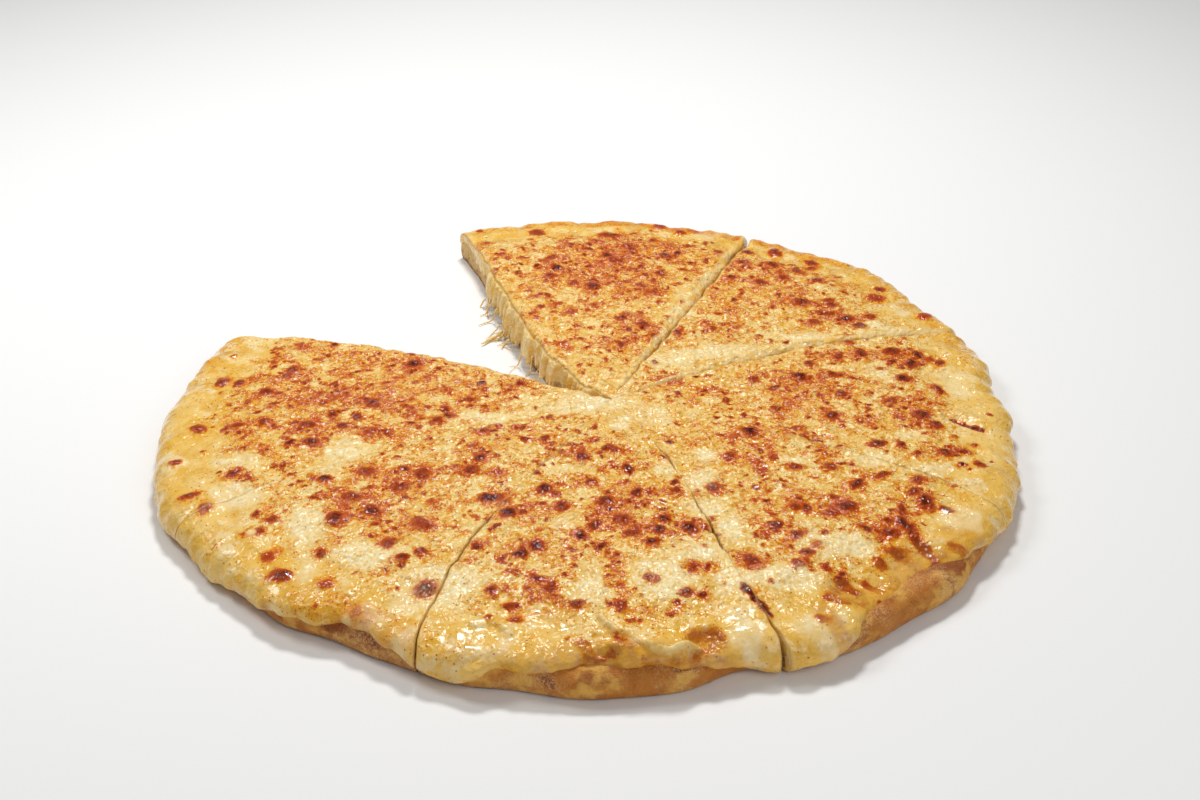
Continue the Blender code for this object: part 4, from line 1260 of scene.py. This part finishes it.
def melted_cheese():
    paint = Paint("melted_cheese")
    char, milk, outer = (paint.mark(key) for key in ("char", "milk", "outer"))
    middle = paint.lumps(0.0065, 0.40, 0.66)
    fine = paint.lumps(0.0017, 0.50, 0.62, 4.0, 0.62, 0.6)
    speck = paint.lumps(0.0009, 0.45, 0.65, 2.0, 0.5)
    gloss = paint.scaled(speck["Lumps"], 0.14, 0.06)
    gloss = paint.scaled(middle["Mask"], 0.05, gloss)
    greasy = paint.lumps(0.017, 0.50, 0.64)["Mask"]
    # The relief is smooth: finer lumps would scatter the light and grey the cheese.
    uneven = paint.scaled(milk, -0.16, paint.scaled(outer, -0.24, 0.52))
    pebble = paint.lumps(0.0022, 0.4, 0.6, 0.5, 0.5, 0.5)["Lumps"]
    pebble = paint.times(pebble, paint.scaled(char, 0.22, uneven))
    height = paint.scaled(speck["Lumps"], 0.05, paint.scaled(middle["Lumps"], 0.36, pebble))
    return paint.finish({
        "Base Color": cheese_colour(paint, middle, fine, speck),
        "Roughness": paint.scaled(char, -0.05, gloss),
        "Specular IOR Level": 0.28,
        "Subsurface Weight": 0.06,
        "Subsurface Radius": (1.0, 0.5, 0.18),
        "Subsurface Scale": 0.0016,
        "Coat Weight": paint.times(greasy, paint.scaled(outer, 0.6, 0.2)),
        "Coat Roughness": 0.10,
        "Normal": paint.relief(height, 0.0023),
    })


CRUST_LIGHT = (0.84, 0.44, 0.080)
CRUST_TAN = (0.60, 0.21, 0.024)
CRUST_BROWN = (0.52, 0.15, 0.012)
CRUST_TOASTED = (0.34, 0.085, 0.010)
CRUST_SPOT = (0.26, 0.055, 0.008)
FLOUR = (0.94, 0.68, 0.36)
CRUMB_SHADE = (0.76, 0.46, 0.15)
CRUMB_LIGHT = (0.90, 0.66, 0.32)
CRUMB_PORE_SHADE = (0.44, 0.21, 0.05)
CRUMB_TOP = (0.80, 0.48, 0.11)
FOOT_TAN = (0.52, 0.22, 0.045)
FOOT_BROWN = (0.28, 0.080, 0.012)


def baked_dough():
    paint = Paint("baked_dough")
    crumb, tan = paint.mark("crumb"), paint.mark("tan")
    middle = paint.lumps(0.0048, 0.42, 0.64)
    fine = paint.lumps(0.0008, 0.50, 0.62, 3.0, 0.6)
    pores = paint.grains(0.0030, 0.0020)
    browned = paint.plus(tan, paint.scaled(middle["Lumps"], 1.0, -0.5))
    floury = paint.scaled(paint.lumps(0.020, 0.46, 0.60)["Mask"], 0.45, 0.07)
    pore = paint.times(
        paint.ramp(pores["From Middle"], 0.42, 0.18), paint.ramp(pores["Own Share"], 0.35, 0.45)
    )
    rise = add(paint.tree, "ShaderNodeSeparateXYZ", {"Vector": paint.spot}).outputs["Z"]
    skin = paint.layers(
        CRUST_LIGHT,
        (paint.lumps(0.014, 0.42, 0.58)["Mask"], CRUST_TAN),
        (paint.times(middle["Mask"], 0.7), CRUST_BROWN),
        (paint.ramp(browned, 0.35, 0.95), CRUST_TOASTED),
        (paint.times(paint.lumps(0.0070, 0.64, 0.72)["Mask"], 0.8), CRUST_SPOT),
        (paint.times(paint.ramp(fine["Lumps"], 0.42, 0.66), floury), FLOUR),
    )
    inner = paint.layers(
        CRUMB_SHADE,
        (fine["Mask"], CRUMB_LIGHT),
        # painted shade: the crumb darkens inside its pores
        (paint.times(pore, 0.75), CRUMB_PORE_SHADE),
        (paint.times(paint.ramp(rise, 0.0095, 0.0112), 0.6), CRUMB_TOP),
    )
    foot = paint.mix(middle["Mask"], FOOT_TAN, FOOT_BROWN)
    height = paint.minus(paint.scaled(middle["Lumps"], 0.7, fine["Lumps"]), paint.times(pore, crumb))
    return paint.finish({
        "Base Color": paint.layers(skin, (crumb, inner), (paint.ramp(rise, 0.0019, 0.0006), foot)),
        "Roughness": paint.scaled(fine["Lumps"], 0.30, 0.42),
        "Specular IOR Level": 0.30,
        "Subsurface Weight": 0.06,
        "Subsurface Radius": (1.0, 0.5, 0.2),
        "Subsurface Scale": 0.002,
        "Normal": paint.relief(height, 0.0010),
    })


# Stage: table, lights and camera.

WORLD_LIGHT = 0.19
TABLE_COLOUR = (0.90, 0.90, 0.89)
TABLE_RADIUS = 3
TABLE_BELOW = 0.0002
# Each light shines at the middle of the pizza: its place, its two sides and its power.
LIGHTS = {
    "high_back": ((0.0, 0.55, 1.0), (0.24, 0.15), 7.9),
    "key_left": ((-0.6, 0.15, 0.8), (0.30, 0.30), 2.8),
    "fill_front": ((0.45, -0.8, 0.7), (0.7, 0.7), 3.0),
}
LENS = 47.25
SENSOR_WIDTH = 36
CAMERA_LIFT = math.radians(31.55)
CAMERA_AIM = (0.0058, 0.0217)
CAMERA_AWAY = 0.7774


def in_scene(name, data):
    made = bpy.data.objects.new(name, data)
    bpy.context.scene.collection.objects.link(made)
    return made


def area_light(name, spot, size, power):
    data = bpy.data.lights.new(name, "AREA")
    data.shape = "RECTANGLE"
    data.size, data.size_y = size
    data.energy = power
    lamp = in_scene(name, data)
    lamp.location = spot
    way = -np.array(spot)
    from_z = math.acos(-way[2] / np.linalg.norm(way))
    lamp.rotation_euler = (from_z, 0, math.atan2(way[1], way[0]) - math.pi / 2)


def pale_table():
    bm = bmesh.new()
    bmesh.ops.create_circle(bm, cap_ends=True, segments=64, radius=TABLE_RADIUS)
    bmesh.ops.translate(bm, verts=bm.verts, vec=(0, 0, -TABLE_BELOW))
    mesh = bpy.data.meshes.new("table")
    bm.to_mesh(mesh)
    bm.free()
    mesh.materials.append(Paint("pale_table").finish({"Base Color": TABLE_COLOUR, "Roughness": 0.8}))
    table = in_scene("table", mesh)


def stage():
    scene = bpy.context.scene
    scene.view_settings.view_transform = "Standard"
    scene.view_settings.look = "None"
    world = bpy.data.worlds.new("studio")
    scene.world = world
    world.use_nodes = True
    background = world.node_tree.nodes["Background"].inputs
    background["Color"].default_value = (1, 1, 1, 1)
    background["Strength"].default_value = WORLD_LIGHT
    pale_table()
    for name, (spot, size, power) in LIGHTS.items():
        area_light(name, spot, size, power)
    camera = in_scene("camera", bpy.data.cameras.new("camera"))
    camera.data.lens = LENS
    camera.data.sensor_width = SENSOR_WIDTH
    camera.data.clip_start = 0.01
    back, up = CAMERA_AWAY * math.cos(CAMERA_LIFT), CAMERA_AWAY * math.sin(CAMERA_LIFT)
    camera.location = (CAMERA_AIM[0], CAMERA_AIM[1] - back, up)
    camera.rotation_euler = (math.pi / 2 - CAMERA_LIFT, 0, 0)
    scene.camera = camera


cheese_material = melted_cheese()
dough_material = baked_dough()
browned_spots = all_blisters()
for where, cuts in SLICES.items():
    mesh = cheese_slice("melted_cheese_" + where, cuts, browned_spots)
    piece("melted_cheese_" + where, mesh, cheese_material, "cheese", "cheese_" + where)
    mesh = dough_slice("baked_dough_" + where, cuts)
    piece("baked_dough_" + where, mesh, dough_material, "dough", "dough_" + where)
for where, cut in (("left", "g"), ("back", "h")):
    mesh = torn_strings("cheese_strings_" + where, cut)
    piece("cheese_strings_" + where, mesh, cheese_material, "cheese")
stage()
